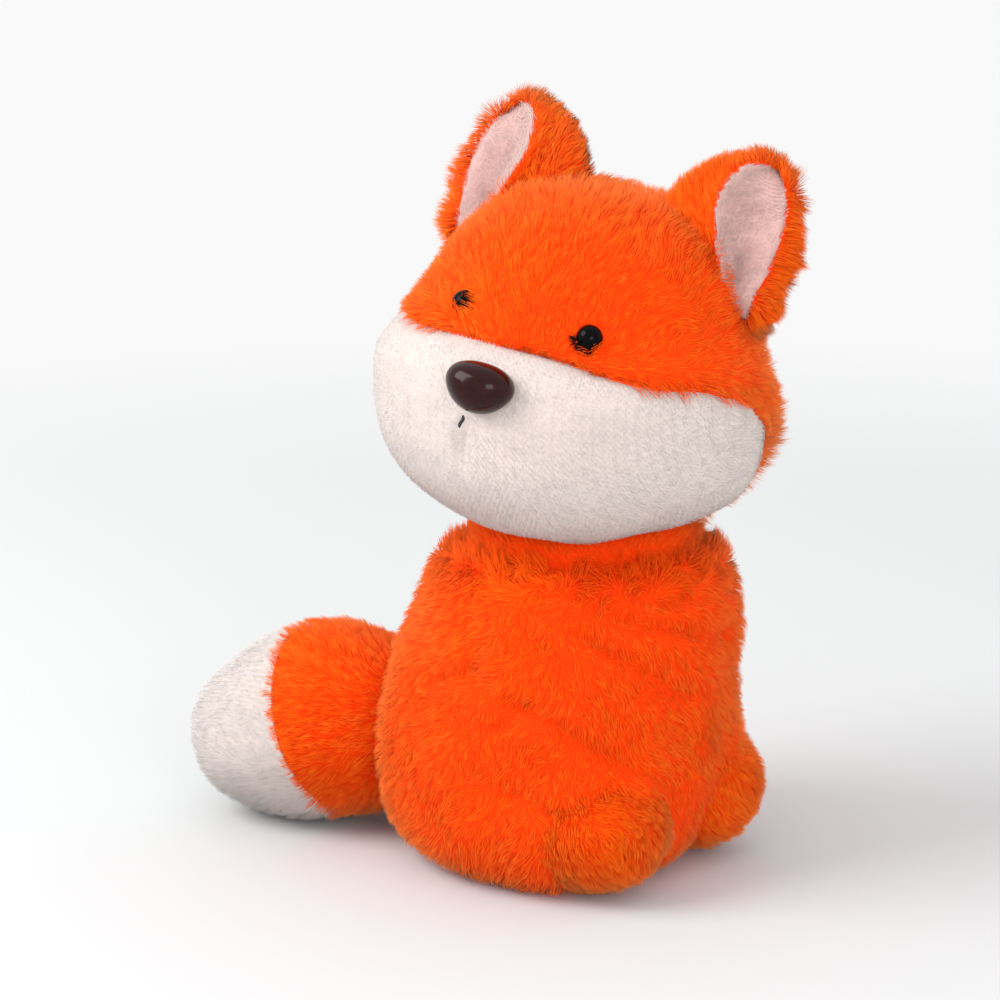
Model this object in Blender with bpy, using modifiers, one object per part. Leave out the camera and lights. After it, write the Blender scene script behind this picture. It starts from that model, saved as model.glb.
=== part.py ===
"""A sitting plush fox with its head turned to its right, built as the sewn toy is built.

Metres, +Z up. The origin is the centre of the base under the body. The body faces -Y,
and the fox's own right side is -X. The head, tail and ears each hang from an empty that
stands on the seam about which they flex.

Inside the head the axes are: +X the fox's left, -Y forward, +Z up.
"""

import math

import bmesh
import bpy
from mathutils import Matrix, Vector

# Plush and clearances
PLUSH_THICKNESS = 0.0055
SEAM_GAP = 0.0003
FILLING_GAP = 0.0006
CUT_OVERRUN = 0.01
FLAT_DEPTH = 0.0005

# Body
BODY_HEIGHT = 0.0998
BODY_HALF_WIDTH = 0.0535
BODY_HALF_DEPTH = 0.0545
BODY_LEAN = 0.0106
BASE_PANEL_RADIUS = 0.031
PELLET_BAG_HALF_WIDTH = 0.030
PELLET_BAG_HEIGHT = 0.017
PELLET_BAG_SEAT = 0.0009

# Front paws
PAW_SPACING = 0.050
# How far the paw's middle lies inside the front of the body
PAW_SINK = 0.0280
PAW_HALF_WIDTH = 0.0215
PAW_HALF_LENGTH = 0.0275
PAW_HEIGHT = 0.0440
PAW_FORWARD = BODY_HALF_DEPTH - PAW_SINK

# Neck
NECK_RISE = 0.0027
NECK_HEIGHT = BODY_HEIGHT + NECK_RISE
NECK_BALL_RADIUS = 0.0215

# Head
HEAD_RISE = 0.0520
HEAD_HALF_WIDTH = 0.0540
HEAD_HALF_DEPTH = 0.0550
HEAD_HALF_HEIGHT = 0.0495
HEAD_TURN = math.radians(-79)
HEAD_ROLL = math.radians(9)

# Muzzle
MUZZLE_HALF_WIDTH = 0.0560
MUZZLE_HALF_DEPTH = 0.0430
MUZZLE_HALF_HEIGHT = 0.0320
MUZZLE_FORWARD = 0.0225
MUZZLE_DROP = 0.0180
MUZZLE_SQUARENESS = 3.4

# Eyes, with their shanks and washers
EYE_RADIUS = 0.0037
EYE_SPACING = 0.0406
EYE_RISE = 0.0186
EYE_FORWARD = 0.0436
SHANK_RADIUS = 0.0014
EYE_SHANK_LENGTH = 0.0120
WASHER_RADIUS = 0.0052
WASHER_THICKNESS = 0.0014
WASHER_SEAT = 0.0010

# Nose
NOSE_WIDTH = 0.0208
NOSE_HEIGHT = 0.0156
NOSE_DEPTH = 0.0088
NOSE_INSET = 0.0030
NOSE_RISE = 0.0020
NOSE_TILT = math.radians(20)
NOSE_SHANK_RADIUS = 0.0024
NOSE_SHANK_LENGTH = 0.0150
NOSE_WASHER_RADIUS = 0.0054
NOSE_WASHER_SEAT = 0.0060

# Mouth stitch, below the nose
STITCH_LENGTH = 0.0042
STITCH_RADIUS = 0.0006
STITCH_DROP = 0.0112
STITCH_SIDE = 0.0040
STITCH_INSET = 0.0015
STITCH_LEAN = math.radians(12)

# Ears: the ends of each base line on the head, and the tip
EAR_INNER_SPREAD = 0.0140
EAR_INNER_BACK = 0.0120
EAR_INNER_RISE = 0.0490
EAR_OUTER_SPREAD = 0.0510
EAR_OUTER_BACK = 0.0070
EAR_OUTER_RISE = 0.0240
EAR_TIP_SPREAD = 0.0430
EAR_TIP_BACK = 0.0230
EAR_TIP_RISE = 0.0620
EAR_HALF_WIDTH = 0.0230
EAR_HALF_THICKNESS = 0.0110
EAR_DROP = 0.0120
EAR_CLEARANCE = 0.0025
EAR_ROOT_RADIUS = 0.0060
EAR_ROOT_HALF_LENGTH = 0.0150
LINING_HALF_WIDTH = 0.0115
LINING_REACH = 0.0110
LINING_THICKNESS = 0.0030
LINING_OFFSET = 0.0080
LINING_TURN = math.radians(28)

# Tail
TAIL_SIDE = 0.0100
# How far the seam of the tail lies inside the back of the body
TAIL_SINK = 0.0060
TAIL_BACK = BODY_HALF_DEPTH - TAIL_SINK
TAIL_HEIGHT = 0.0315
TAIL_SWING_AT_REST = math.radians(26)
TAIL_SWING_LIMIT = math.radians(12)
TAIL_CLEARANCE = 0.0010
TAIL_LENGTH = 0.0685
TAIL_RADIUS = 0.0318
TAIL_ROOT_RADIUS = 0.0240
TAIL_TIP_SEAM = 0.0255
TAIL_SEAM_TURN = math.radians(-16)
TAIL_SEAM_LEAN = math.radians(20)

# Rings of each soft form, from bottom to top or from root to tip
# Height, half width, half depth and lean, as shares of the body's own sizes
BODY_SHARES = (
    (-0.03, 0.78, 0.78, -0.10),
    (0.11, 1.00, 1.00, -0.16),
    (0.42, 1.03, 1.03, -0.08),
    (0.72, 0.94, 0.95, 0.62),
    (0.97, 0.86, 0.85, 1.00),
    (1.02, 0.60, 0.60, 1.00),
)
# Height, half width and half depth, as shares of the head's half sizes
HEAD_SHARES = (
    (-1.00, 0.42, 0.42),
    (-0.78, 0.80, 0.80),
    (-0.30, 1.14, 1.08),
    (0.20, 0.98, 0.95),
    (0.62, 0.81, 0.82),
    (0.84, 0.64, 0.64),
    (1.00, 0.36, 0.36),
)
# Side station, then forward shift, rise, half depth and half height, as shares
MUZZLE_SHARES = (
    (0.40, 0.00, 0.00, 1.00, 1.00),
    (0.84, -0.26, 0.17, 0.74, 0.71),
    (1.03, -0.38, 0.13, 0.38, 0.36),
)
# Station along the paw, half width and half height, as shares
PAW_SHARES = (
    (-1.00, 0.70, 0.80),
    (0.00, 1.04, 1.06),
    (0.80, 0.86, 0.86),
    (1.03, 0.42, 0.44),
)
# Station from the root ball's centre to the tip, radius, and height of the middle
TAIL_SHARES = (
    (0.18, 0.92, 1.00),
    (0.50, 1.05, 1.00),
    (0.86, 0.74, 0.84),
    (1.02, 0.32, 0.80),
)
TAIL_BALL_SHARES = (
    (-1.00, 0.46),
    (-0.52, 0.92),
)
# Station up the ear, half width and half thickness; then station and half width of the lining
EAR_SHARES = (
    (0.00, 0.96, 0.90),
    (0.42, 1.02, 1.04),
    (0.84, 0.70, 0.92),
    (1.02, 0.28, 0.46),
)
LINING_SHARES = (
    (0.00, 0.70),
    (0.46, 1.02),
    (0.78, 0.74),
    (0.95, 0.26),
)
PELLET_SHARES = (
    (0.00, 0.70),
    (0.30, 1.00),
    (0.75, 0.90),
    (1.00, 0.45),
)
# Half width and height round the nose's outline, from its right, as shares
NOSE_OUTLINE_SHARES = (
    (1.00, 0.22),
    (0.66, 0.86),
    (0.00, 1.00),
    (-0.66, 0.86),
    (-1.00, 0.22),
    (-0.62, -0.66),
    (0.00, -1.00),
    (0.62, -0.66),
)
NOSE_SHARES = (
    (0.00, 0.90),
    (0.16, 1.00),
    (0.62, 0.84),
    (1.00, 0.40),
)

RING_POINTS = 8
# A subdivided ring lies inside its cage by this share
RING_SWELL_SHARE = 3 / (2 + math.cos(2 * math.pi / RING_POINTS))
FINE_LEVELS = 2
COARSE_LEVELS = 1
BALL_SEGMENTS = 20
BALL_RINGS = 10
PIN_SEGMENTS = 12

ORANGE = (0.95, 0.11, 0.005)
WHITE = (0.86, 0.82, 0.80)
PINK_WHITE = (0.82, 0.62, 0.58)
FILLING = (0.90, 0.90, 0.88)
BAG = (0.55, 0.52, 0.47)
BROWN = (0.035, 0.008, 0.006)
BLACK = (0.005, 0.005, 0.005)
CLEAR = (0.75, 0.77, 0.80)
PILE_ROUGHNESS = 0.9
FIBRE_ROUGHNESS = 0.95
CLOTH_ROUGHNESS = 0.8
THREAD_ROUGHNESS = 0.6
WASHER_ROUGHNESS = 0.4
NOSE_ROUGHNESS = 0.2
BEAD_ROUGHNESS = 0.08


def clear_scene():
    for old in list(bpy.data.objects):
        bpy.data.objects.remove(old)


def new_collection(name):
    made = bpy.data.collections.new(name)
    bpy.context.scene.collection.children.link(made)
    return made


clear_scene()
FOX = new_collection("plush_fox")
CUTTERS = new_collection("cutters")


def new_material(name, colour, roughness):
    made = bpy.data.materials.new(name)
    made.use_nodes = True
    shader = made.node_tree.nodes["Principled BSDF"]
    shader.inputs["Base Color"].default_value = (*colour, 1)
    shader.inputs["Roughness"].default_value = roughness
    shader.inputs["Metallic"].default_value = 0
    return made


def place(name, mesh, parent):
    made = bpy.data.objects.new(name, mesh)
    FOX.objects.link(made)
    made.parent = parent
    return made


def dress(piece, colour, roughness):
    """Gives a piece its own material and smooth shading."""
    piece.data.materials.append(new_material(piece.name, colour, roughness))
    piece.data.shade_smooth()
    return piece


def as_cutter(piece):
    FOX.objects.unlink(piece)
    CUTTERS.objects.link(piece)
    piece.hide_render = True
    piece.display_type = "WIRE"
    return piece


def boolean(piece, other, operation):
    change = piece.modifiers.new(operation.lower(), "BOOLEAN")
    change.object = other
    change.operation = operation
    change.solver = "EXACT"


def cut(piece, *cutters):
    for cutter in cutters:
        boolean(piece, cutter, "DIFFERENCE")
    return piece


def empty(name, location, parent=None, rotation=None):
    made = bpy.data.objects.new(name, None)
    FOX.objects.link(made)
    made.parent = parent
    made.location = location
    if rotation is not None:
        made.rotation_euler = rotation.to_euler()
    return made


def ring(centre, across, along, half_across, half_along, squareness=2):
    """Eight cage points round a centre, which the subdivision draws in to the given half sizes.

    Squareness 2 is an ellipse, and more than 2 fills out the two shoulders on the along side.
    """
    points = []
    for k in range(RING_POINTS):
        angle = 2 * math.pi * k / RING_POINTS
        right, up = math.cos(angle), math.sin(angle)
        power = squareness if up > 0 else 2
        spread = (abs(right) ** power + abs(up) ** power) ** (-1 / power)
        spread *= RING_SWELL_SHARE
        points.append(centre + across * (half_across * spread * right) + along * (half_along * spread * up))
    return points


def soft_form(name, rings, parent, levels):
    """A closed coarse cage through the rings, rounded by subdivision."""
    cage = bmesh.new()
    loops = [[cage.verts.new(point) for point in points] for points in rings]
    for low, high in zip(loops, loops[1:]):
        for k in range(len(low)):
            after = (k + 1) % len(low)
            cage.faces.new((low[k], low[after], high[after], high[k]))
    cage.faces.new(list(reversed(loops[0])))
    cage.faces.new(loops[-1])
    bmesh.ops.recalc_face_normals(cage, faces=cage.faces)
    mesh = bpy.data.meshes.new(name)
    cage.to_mesh(mesh)
    cage.free()
    made = place(name, mesh, parent)
    smooth = made.modifiers.new("soft", "SUBSURF")
    smooth.levels = levels
    smooth.render_levels = levels
    return made


def ball(name, radius, parent):
    shape = bmesh.new()
    bmesh.ops.create_uvsphere(
        shape, u_segments=BALL_SEGMENTS, v_segments=BALL_RINGS, radius=radius
    )
    mesh = bpy.data.meshes.new(name)
    shape.to_mesh(mesh)
    shape.free()
    return place(name, mesh, parent)


def rod(name, radius, start, end, parent, segments=PIN_SEGMENTS):
    """A capped cylinder along the parent's Z from start to end."""
    shape = bmesh.new()
    bmesh.ops.create_cone(
        shape,
        cap_ends=True,
        segments=segments,
        radius1=radius,
        radius2=radius,
        depth=end - start,
        matrix=Matrix.Translation((0, 0, (start + end) / 2)),
    )
    mesh = bpy.data.meshes.new(name)
    shape.to_mesh(mesh)
    shape.free()
    return place(name, mesh, parent)


def block(name, low, high, parent):
    """A box between two opposite corners."""
    shape = bmesh.new()
    bmesh.ops.create_cube(shape, size=1)
    for corner in shape.verts:
        for axis in range(3):
            corner.co[axis] = high[axis] if corner.co[axis] > 0 else low[axis]
    mesh = bpy.data.meshes.new(name)
    shape.to_mesh(mesh)
    shape.free()
    return place(name, mesh, parent)


X_AXIS = Vector((1, 0, 0))
Y_AXIS = Vector((0, 1, 0))
Z_AXIS = Vector((0, 0, 1))


def both_ways(share):
    """From -1 at the bottom of a form to 1 at its top."""
    return 2 * share - 1


def body_form(name, grow, levels):
    """The pear of the body. grow moves its whole surface out, or in where it is negative."""
    rings = []
    for height_share, width_share, depth_share, lean_share in BODY_SHARES:
        height = height_share * BODY_HEIGHT + grow * both_ways(height_share)
        centre = Vector((0, -BODY_LEAN * lean_share, height - FLAT_DEPTH))
        rings.append(
            ring(
                centre,
                X_AXIS,
                Y_AXIS,
                BODY_HALF_WIDTH * width_share + grow,
                BODY_HALF_DEPTH * depth_share + grow,
            )
        )
    return soft_form(name, rings, None, levels)


def paw_form(name, side, grow, levels):
    rings = []
    middle = PAW_HEIGHT / 2 - FLAT_DEPTH
    for station_share, width_share, height_share in PAW_SHARES:
        reach = station_share * (PAW_HALF_LENGTH + grow)
        centre = Vector((side * PAW_SPACING / 2, -PAW_FORWARD - reach, middle))
        rings.append(
            ring(
                centre,
                X_AXIS,
                Z_AXIS,
                PAW_HALF_WIDTH * width_share + grow,
                PAW_HEIGHT / 2 * height_share + grow,
            )
        )
    return soft_form(name, rings, None, levels)


def head_form(name, grow, levels, parent):
    rings = []
    for height_share, width_share, depth_share in HEAD_SHARES:
        rings.append(
            ring(
                Vector((0, 0, height_share * (HEAD_HALF_HEIGHT + grow))),
                X_AXIS,
                Y_AXIS,
                HEAD_HALF_WIDTH * width_share + grow,
                HEAD_HALF_DEPTH * depth_share + grow,
            )
        )
    return soft_form(name, rings, parent, levels)


def muzzle_form(name, grow, levels, parent):
    """The wide puffed band of the muzzle, as sections from the fox's right to its left."""
    stations = [(-side, *rest) for side, *rest in reversed(MUZZLE_SHARES)] + [
        tuple(row) for row in MUZZLE_SHARES
    ]
    rings = []
    for side_share, shift_share, rise_share, depth_share, height_share in stations:
        centre = Vector(
            (
                side_share * (MUZZLE_HALF_WIDTH + grow),
                -MUZZLE_FORWARD - shift_share * MUZZLE_HALF_DEPTH,
                rise_share * MUZZLE_HALF_HEIGHT - MUZZLE_DROP,
            )
        )
        rings.append(
            ring(
                centre,
                Y_AXIS,
                Z_AXIS,
                MUZZLE_HALF_DEPTH * depth_share + grow,
                MUZZLE_HALF_HEIGHT * height_share + grow,
                MUZZLE_SQUARENESS,
            )
        )
    return soft_form(name, rings, parent, levels)


def tail_form(name, grow, levels, parent):
    """The tail along the parent's +Y, from the ball in its seam to the tip."""
    rings = []
    for station_share, radius_share in TAIL_BALL_SHARES:
        radius = TAIL_ROOT_RADIUS * radius_share + grow
        centre = Vector((0, station_share * (TAIL_ROOT_RADIUS + grow), 0))
        rings.append(ring(centre, X_AXIS, Z_AXIS, radius, radius))
    for station_share, radius_share, height_share in TAIL_SHARES:
        radius = TAIL_RADIUS * radius_share + grow
        reach = station_share * (TAIL_LENGTH + grow)
        centre = Vector((0, reach, TAIL_HEIGHT * height_share - TAIL_HEIGHT))
        rings.append(ring(centre, X_AXIS, Z_AXIS, radius, radius))
    return soft_form(name, rings, parent, levels)


def make_body(floor_cut, neck_cut, tail_cut):
    inner = as_cutter(body_form("body_hollow", -PLUSH_THICKNESS, COARSE_LEVELS))
    base_hole = as_cutter(
        rod(
            "base_hole",
            BASE_PANEL_RADIUS + SEAM_GAP,
            -CUT_OVERRUN,
            PLUSH_THICKNESS + CUT_OVERRUN,
            None,
            BALL_SEGMENTS,
        )
    )
    skin = body_form("body_skin", 0, FINE_LEVELS)
    cut(skin, inner, floor_cut, base_hole, neck_cut, tail_cut)
    dress(skin, ORANGE, PILE_ROUGHNESS)

    panel = rod("base_panel", BASE_PANEL_RADIUS, 0, PLUSH_THICKNESS, None, BALL_SEGMENTS)
    dress(panel, ORANGE, PILE_ROUGHNESS)

    bag_rings = []
    bag_bottom = PLUSH_THICKNESS + SEAM_GAP
    seat_top = PLUSH_THICKNESS + PELLET_BAG_SEAT
    panel_space = as_cutter(
        rod("panel_space", BASE_PANEL_RADIUS + SEAM_GAP, -CUT_OVERRUN, seat_top, None, BALL_SEGMENTS)
    )
    for height_share, width_share in PELLET_SHARES:
        centre = Vector((0, 0, bag_bottom + height_share * PELLET_BAG_HEIGHT))
        half = PELLET_BAG_HALF_WIDTH * width_share
        bag_rings.append(ring(centre, X_AXIS, Y_AXIS, half, half))
    bag = soft_form("pellet_bag", bag_rings, None, COARSE_LEVELS)
    dress(bag, BAG, CLOTH_ROUGHNESS)

    bag_cut_rings = []
    for height_share, width_share in PELLET_SHARES:
        height = bag_bottom + height_share * PELLET_BAG_HEIGHT + SEAM_GAP * both_ways(height_share)
        half = PELLET_BAG_HALF_WIDTH * width_share + SEAM_GAP
        bag_cut_rings.append(ring(Vector((0, 0, height)), X_AXIS, Y_AXIS, half, half))
    bag_cut = as_cutter(soft_form("pellet_bag_hollow", bag_cut_rings, None, COARSE_LEVELS))

    filling = body_form("body_stuffing", -PLUSH_THICKNESS - FILLING_GAP, COARSE_LEVELS)
    cut(filling, panel_space, bag_cut, neck_cut, tail_cut)
    dress(filling, FILLING, FIBRE_ROUGHNESS)


def make_paws(floor_cut):
    body_cut = as_cutter(body_form("body_space", SEAM_GAP, FINE_LEVELS))
    for side, word in ((-1, "right"), (1, "left")):
        inner = as_cutter(paw_form(f"paw_hollow_{word}", side, -PLUSH_THICKNESS, COARSE_LEVELS))
        skin = paw_form(f"front_paw_{word}", side, 0, FINE_LEVELS)
        cut(skin, inner, body_cut, floor_cut)
        dress(skin, ORANGE, PILE_ROUGHNESS)
        filling = paw_form(f"paw_stuffing_{word}", side, -PLUSH_THICKNESS - FILLING_GAP, COARSE_LEVELS)
        cut(filling, body_cut)
        dress(filling, FILLING, FIBRE_ROUGHNESS)


def swung_body(name, grow, swing, joint):
    """The room that the body takes up beside the tail when the tail has swung the other way."""
    made = as_cutter(body_form(name, TAIL_CLEARANCE + grow, FINE_LEVELS))
    turn = Matrix.Rotation(swing - TAIL_SWING_AT_REST, 3, "Z")
    made.parent = joint
    made.rotation_euler = turn.to_euler()
    made.location = turn @ -Vector((-TAIL_SIDE, TAIL_BACK, TAIL_HEIGHT))
    return made


def clear_of_body(piece, grow, joint):
    """Takes away from a piece of the tail what would meet the body at either end of its swing."""
    for word, swing in (("back", -TAIL_SWING_LIMIT), ("on", TAIL_SWING_LIMIT)):
        cut(piece, swung_body(f"{piece.name}_{word}", grow, swing, joint))
    return piece


def make_tail(joint):
    floor_cut = as_cutter(
        block(
            "tail_floor_cut",
            (-2 * TAIL_LENGTH, -2 * TAIL_LENGTH, -TAIL_HEIGHT - CUT_OVERRUN),
            (2 * TAIL_LENGTH, 2 * TAIL_LENGTH, -TAIL_HEIGHT),
            joint,
        )
    )
    seam = Matrix.Rotation(TAIL_SEAM_TURN, 3, "Z") @ Matrix.Rotation(-TAIL_SEAM_LEAN, 3, "X")
    seam_frame = empty("tail_seam_frame", (0, TAIL_TIP_SEAM, 0), joint, seam)
    reach = 2 * TAIL_LENGTH
    beyond = as_cutter(
        block("tail_end_cut", (-reach, -SEAM_GAP / 2, -reach), (reach, reach, reach), seam_frame)
    )
    before = as_cutter(
        block("tail_root_cut", (-reach, -reach, -reach), (reach, SEAM_GAP / 2, reach), seam_frame)
    )
    inner = as_cutter(tail_form("tail_hollow", -PLUSH_THICKNESS, COARSE_LEVELS, joint))
    clear_of_body(inner, PLUSH_THICKNESS, joint)
    sleeve = tail_form("tail_sleeve", 0, FINE_LEVELS, joint)
    clear_of_body(sleeve, 0, joint)
    boolean(sleeve, as_cutter(ball("tail_root", TAIL_ROOT_RADIUS, joint)), "UNION")
    cut(sleeve, inner, floor_cut, beyond)
    dress(sleeve, ORANGE, PILE_ROUGHNESS)
    tip = tail_form("tail_tip", 0, FINE_LEVELS, joint)
    cut(tip, inner, floor_cut, before)
    dress(tip, WHITE, PILE_ROUGHNESS)
    filling = tail_form("tail_stuffing", -PLUSH_THICKNESS - FILLING_GAP, COARSE_LEVELS, joint)
    clear_of_body(filling, PLUSH_THICKNESS + FILLING_GAP, joint)
    dress(filling, FILLING, FIBRE_ROUGHNESS)


def facing(direction):
    """The rotation that turns +Z towards a direction."""
    return Vector(direction).to_track_quat("Z", "Y").to_matrix()


def eye_frame(side, word, head):
    """An empty at the bead's centre whose +Z looks out of the head."""
    where = Vector((side * EYE_SPACING / 2, -EYE_FORWARD, EYE_RISE))
    out = Vector(
        (
            where.x / HEAD_HALF_WIDTH**2,
            where.y / HEAD_HALF_DEPTH**2,
            where.z / HEAD_HALF_HEIGHT**2,
        )
    )
    return empty(f"eye_frame_{word}", where, head, facing(out))


def eye_form(name, grow, frame):
    """A bead with its moulded shank."""
    bead = ball(name, EYE_RADIUS + grow, frame)
    shank = as_cutter(
        rod(f"{name}_shank", SHANK_RADIUS + grow, -EYE_SHANK_LENGTH - grow, 0, frame)
    )
    boolean(bead, shank, "UNION")
    return bead


def washer(name, radius, hole, top, frame):
    """A flat locking ring whose outer face is at top."""
    disc = rod(name, radius, top - WASHER_THICKNESS, top, frame)
    bore = as_cutter(
        rod(f"{name}_bore", hole, top - WASHER_THICKNESS - CUT_OVERRUN, top + CUT_OVERRUN, frame)
    )
    return dress(cut(disc, bore), CLEAR, WASHER_ROUGHNESS)


def washer_space(name, radius, top, frame):
    """The room that a washer takes up in the stuffing."""
    return as_cutter(
        rod(name, radius + SEAM_GAP, top - WASHER_THICKNESS - SEAM_GAP, top + CUT_OVERRUN, frame)
    )


def nose_rings(grow):
    rings = []
    for depth_share, size_share in NOSE_SHARES:
        reach = depth_share * NOSE_DEPTH + grow * both_ways(depth_share)
        rings.append(
            [
                Vector(
                    (
                        RING_SWELL_SHARE * across * (NOSE_WIDTH / 2 * size_share + grow),
                        RING_SWELL_SHARE * up * (NOSE_HEIGHT / 2 * size_share + grow),
                        reach,
                    )
                )
                for across, up in NOSE_OUTLINE_SHARES
            ]
        )
    return rings


def nose_form(name, grow, frame):
    made = soft_form(name, nose_rings(grow), frame, COARSE_LEVELS)
    shank = as_cutter(
        rod(
            f"{name}_shank",
            NOSE_SHANK_RADIUS + grow,
            -NOSE_SHANK_LENGTH - grow,
            NOSE_DEPTH / 2,
            frame,
        )
    )
    boolean(made, shank, "UNION")
    return made


def ear_axes(side):
    """The ear's hinge point, its length, the lean of its tip, and its turned axes."""
    inner = Vector((side * EAR_INNER_SPREAD, EAR_INNER_BACK, EAR_INNER_RISE))
    outer = Vector((side * EAR_OUTER_SPREAD, EAR_OUTER_BACK, EAR_OUTER_RISE))
    tip = Vector((side * EAR_TIP_SPREAD, EAR_TIP_BACK, EAR_TIP_RISE))
    base = (inner + outer) / 2
    along = side * (outer - inner).normalized()
    reach = tip - base
    lean = reach.dot(along)
    up = reach - along * lean
    length = up.length
    up.normalize()
    return base, length, lean, Matrix((along, up.cross(along), up)).transposed()


def ear_form(name, grow, levels, length, lean, joint):
    """A flattened upright form whose tip leans along the base line."""
    rings = []
    for share, width_share, thick_share in EAR_SHARES:
        height = share * (length + EAR_DROP) - EAR_DROP + grow * both_ways(share)
        centre = Vector((lean * share, 0, height))
        half_width = EAR_HALF_WIDTH * width_share + grow
        rings.append(ring(centre, X_AXIS, Y_AXIS, half_width, EAR_HALF_THICKNESS * thick_share + grow))
    return soft_form(name, rings, joint, levels)


def lining_outline(name, side, grow, length, lean, joint):
    """The upright form that marks out the lining on the ear's outer front."""
    across = Matrix.Rotation(side * LINING_TURN, 3, "Z")
    rings = []
    for share, width_share in LINING_SHARES:
        middle = lean * share + side * LINING_OFFSET
        height = share * (length + 2 * EAR_DROP) - 2 * EAR_DROP + grow * both_ways(share)
        centre = Vector((middle, -EAR_HALF_THICKNESS, height))
        half_width = LINING_HALF_WIDTH * width_share + grow
        rings.append(ring(centre, across @ X_AXIS, across @ Y_AXIS, half_width, LINING_REACH + grow))
    return soft_form(name, rings, joint, COARSE_LEVELS)


def make_ear(side, word, head, head_space):
    """One ear on its own hinge empty: local X along the base, -Y out of the face, Z up the ear."""
    base, length, lean, turned = ear_axes(side)
    joint = empty(f"ear_joint_{word}", base, head, turned)
    shape = (length, lean, joint)

    pocket = as_cutter(lining_outline(f"ear_pocket_{word}", side, SEAM_GAP, *shape))
    floor = as_cutter(
        ear_form(f"ear_pocket_floor_{word}", -LINING_THICKNESS - SEAM_GAP, FINE_LEVELS, *shape)
    )
    cut(pocket, floor)
    quarter = Matrix.Rotation(math.pi / 2, 3, "Y").to_euler()
    half = EAR_ROOT_HALF_LENGTH
    root = as_cutter(
        rod(f"ear_root_{word}", EAR_ROOT_RADIUS, -half, half, joint, BALL_SEGMENTS)
    )
    root.rotation_euler = quarter
    ear = ear_form(f"ear_{word}", 0, FINE_LEVELS, *shape)
    cut(ear, head_space)
    boolean(ear, root, "UNION")
    cut(ear, pocket)
    dress(ear, ORANGE, PILE_ROUGHNESS)

    lining = lining_outline(f"ear_lining_{word}", side, 0, *shape)
    front = as_cutter(ear_form(f"ear_front_{word}", 0, FINE_LEVELS, *shape))
    back = as_cutter(ear_form(f"ear_lining_back_{word}", -LINING_THICKNESS, FINE_LEVELS, *shape))
    boolean(lining, front, "INTERSECT")
    cut(lining, back, head_space)
    dress(lining, PINK_WHITE, PILE_ROUGHNESS)

    reach = half + SEAM_GAP
    groove = as_cutter(
        rod(
            f"ear_groove_{word}", EAR_ROOT_RADIUS + SEAM_GAP, -reach, reach, joint, BALL_SEGMENTS
        )
    )
    groove.rotation_euler = quarter
    return groove


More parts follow.
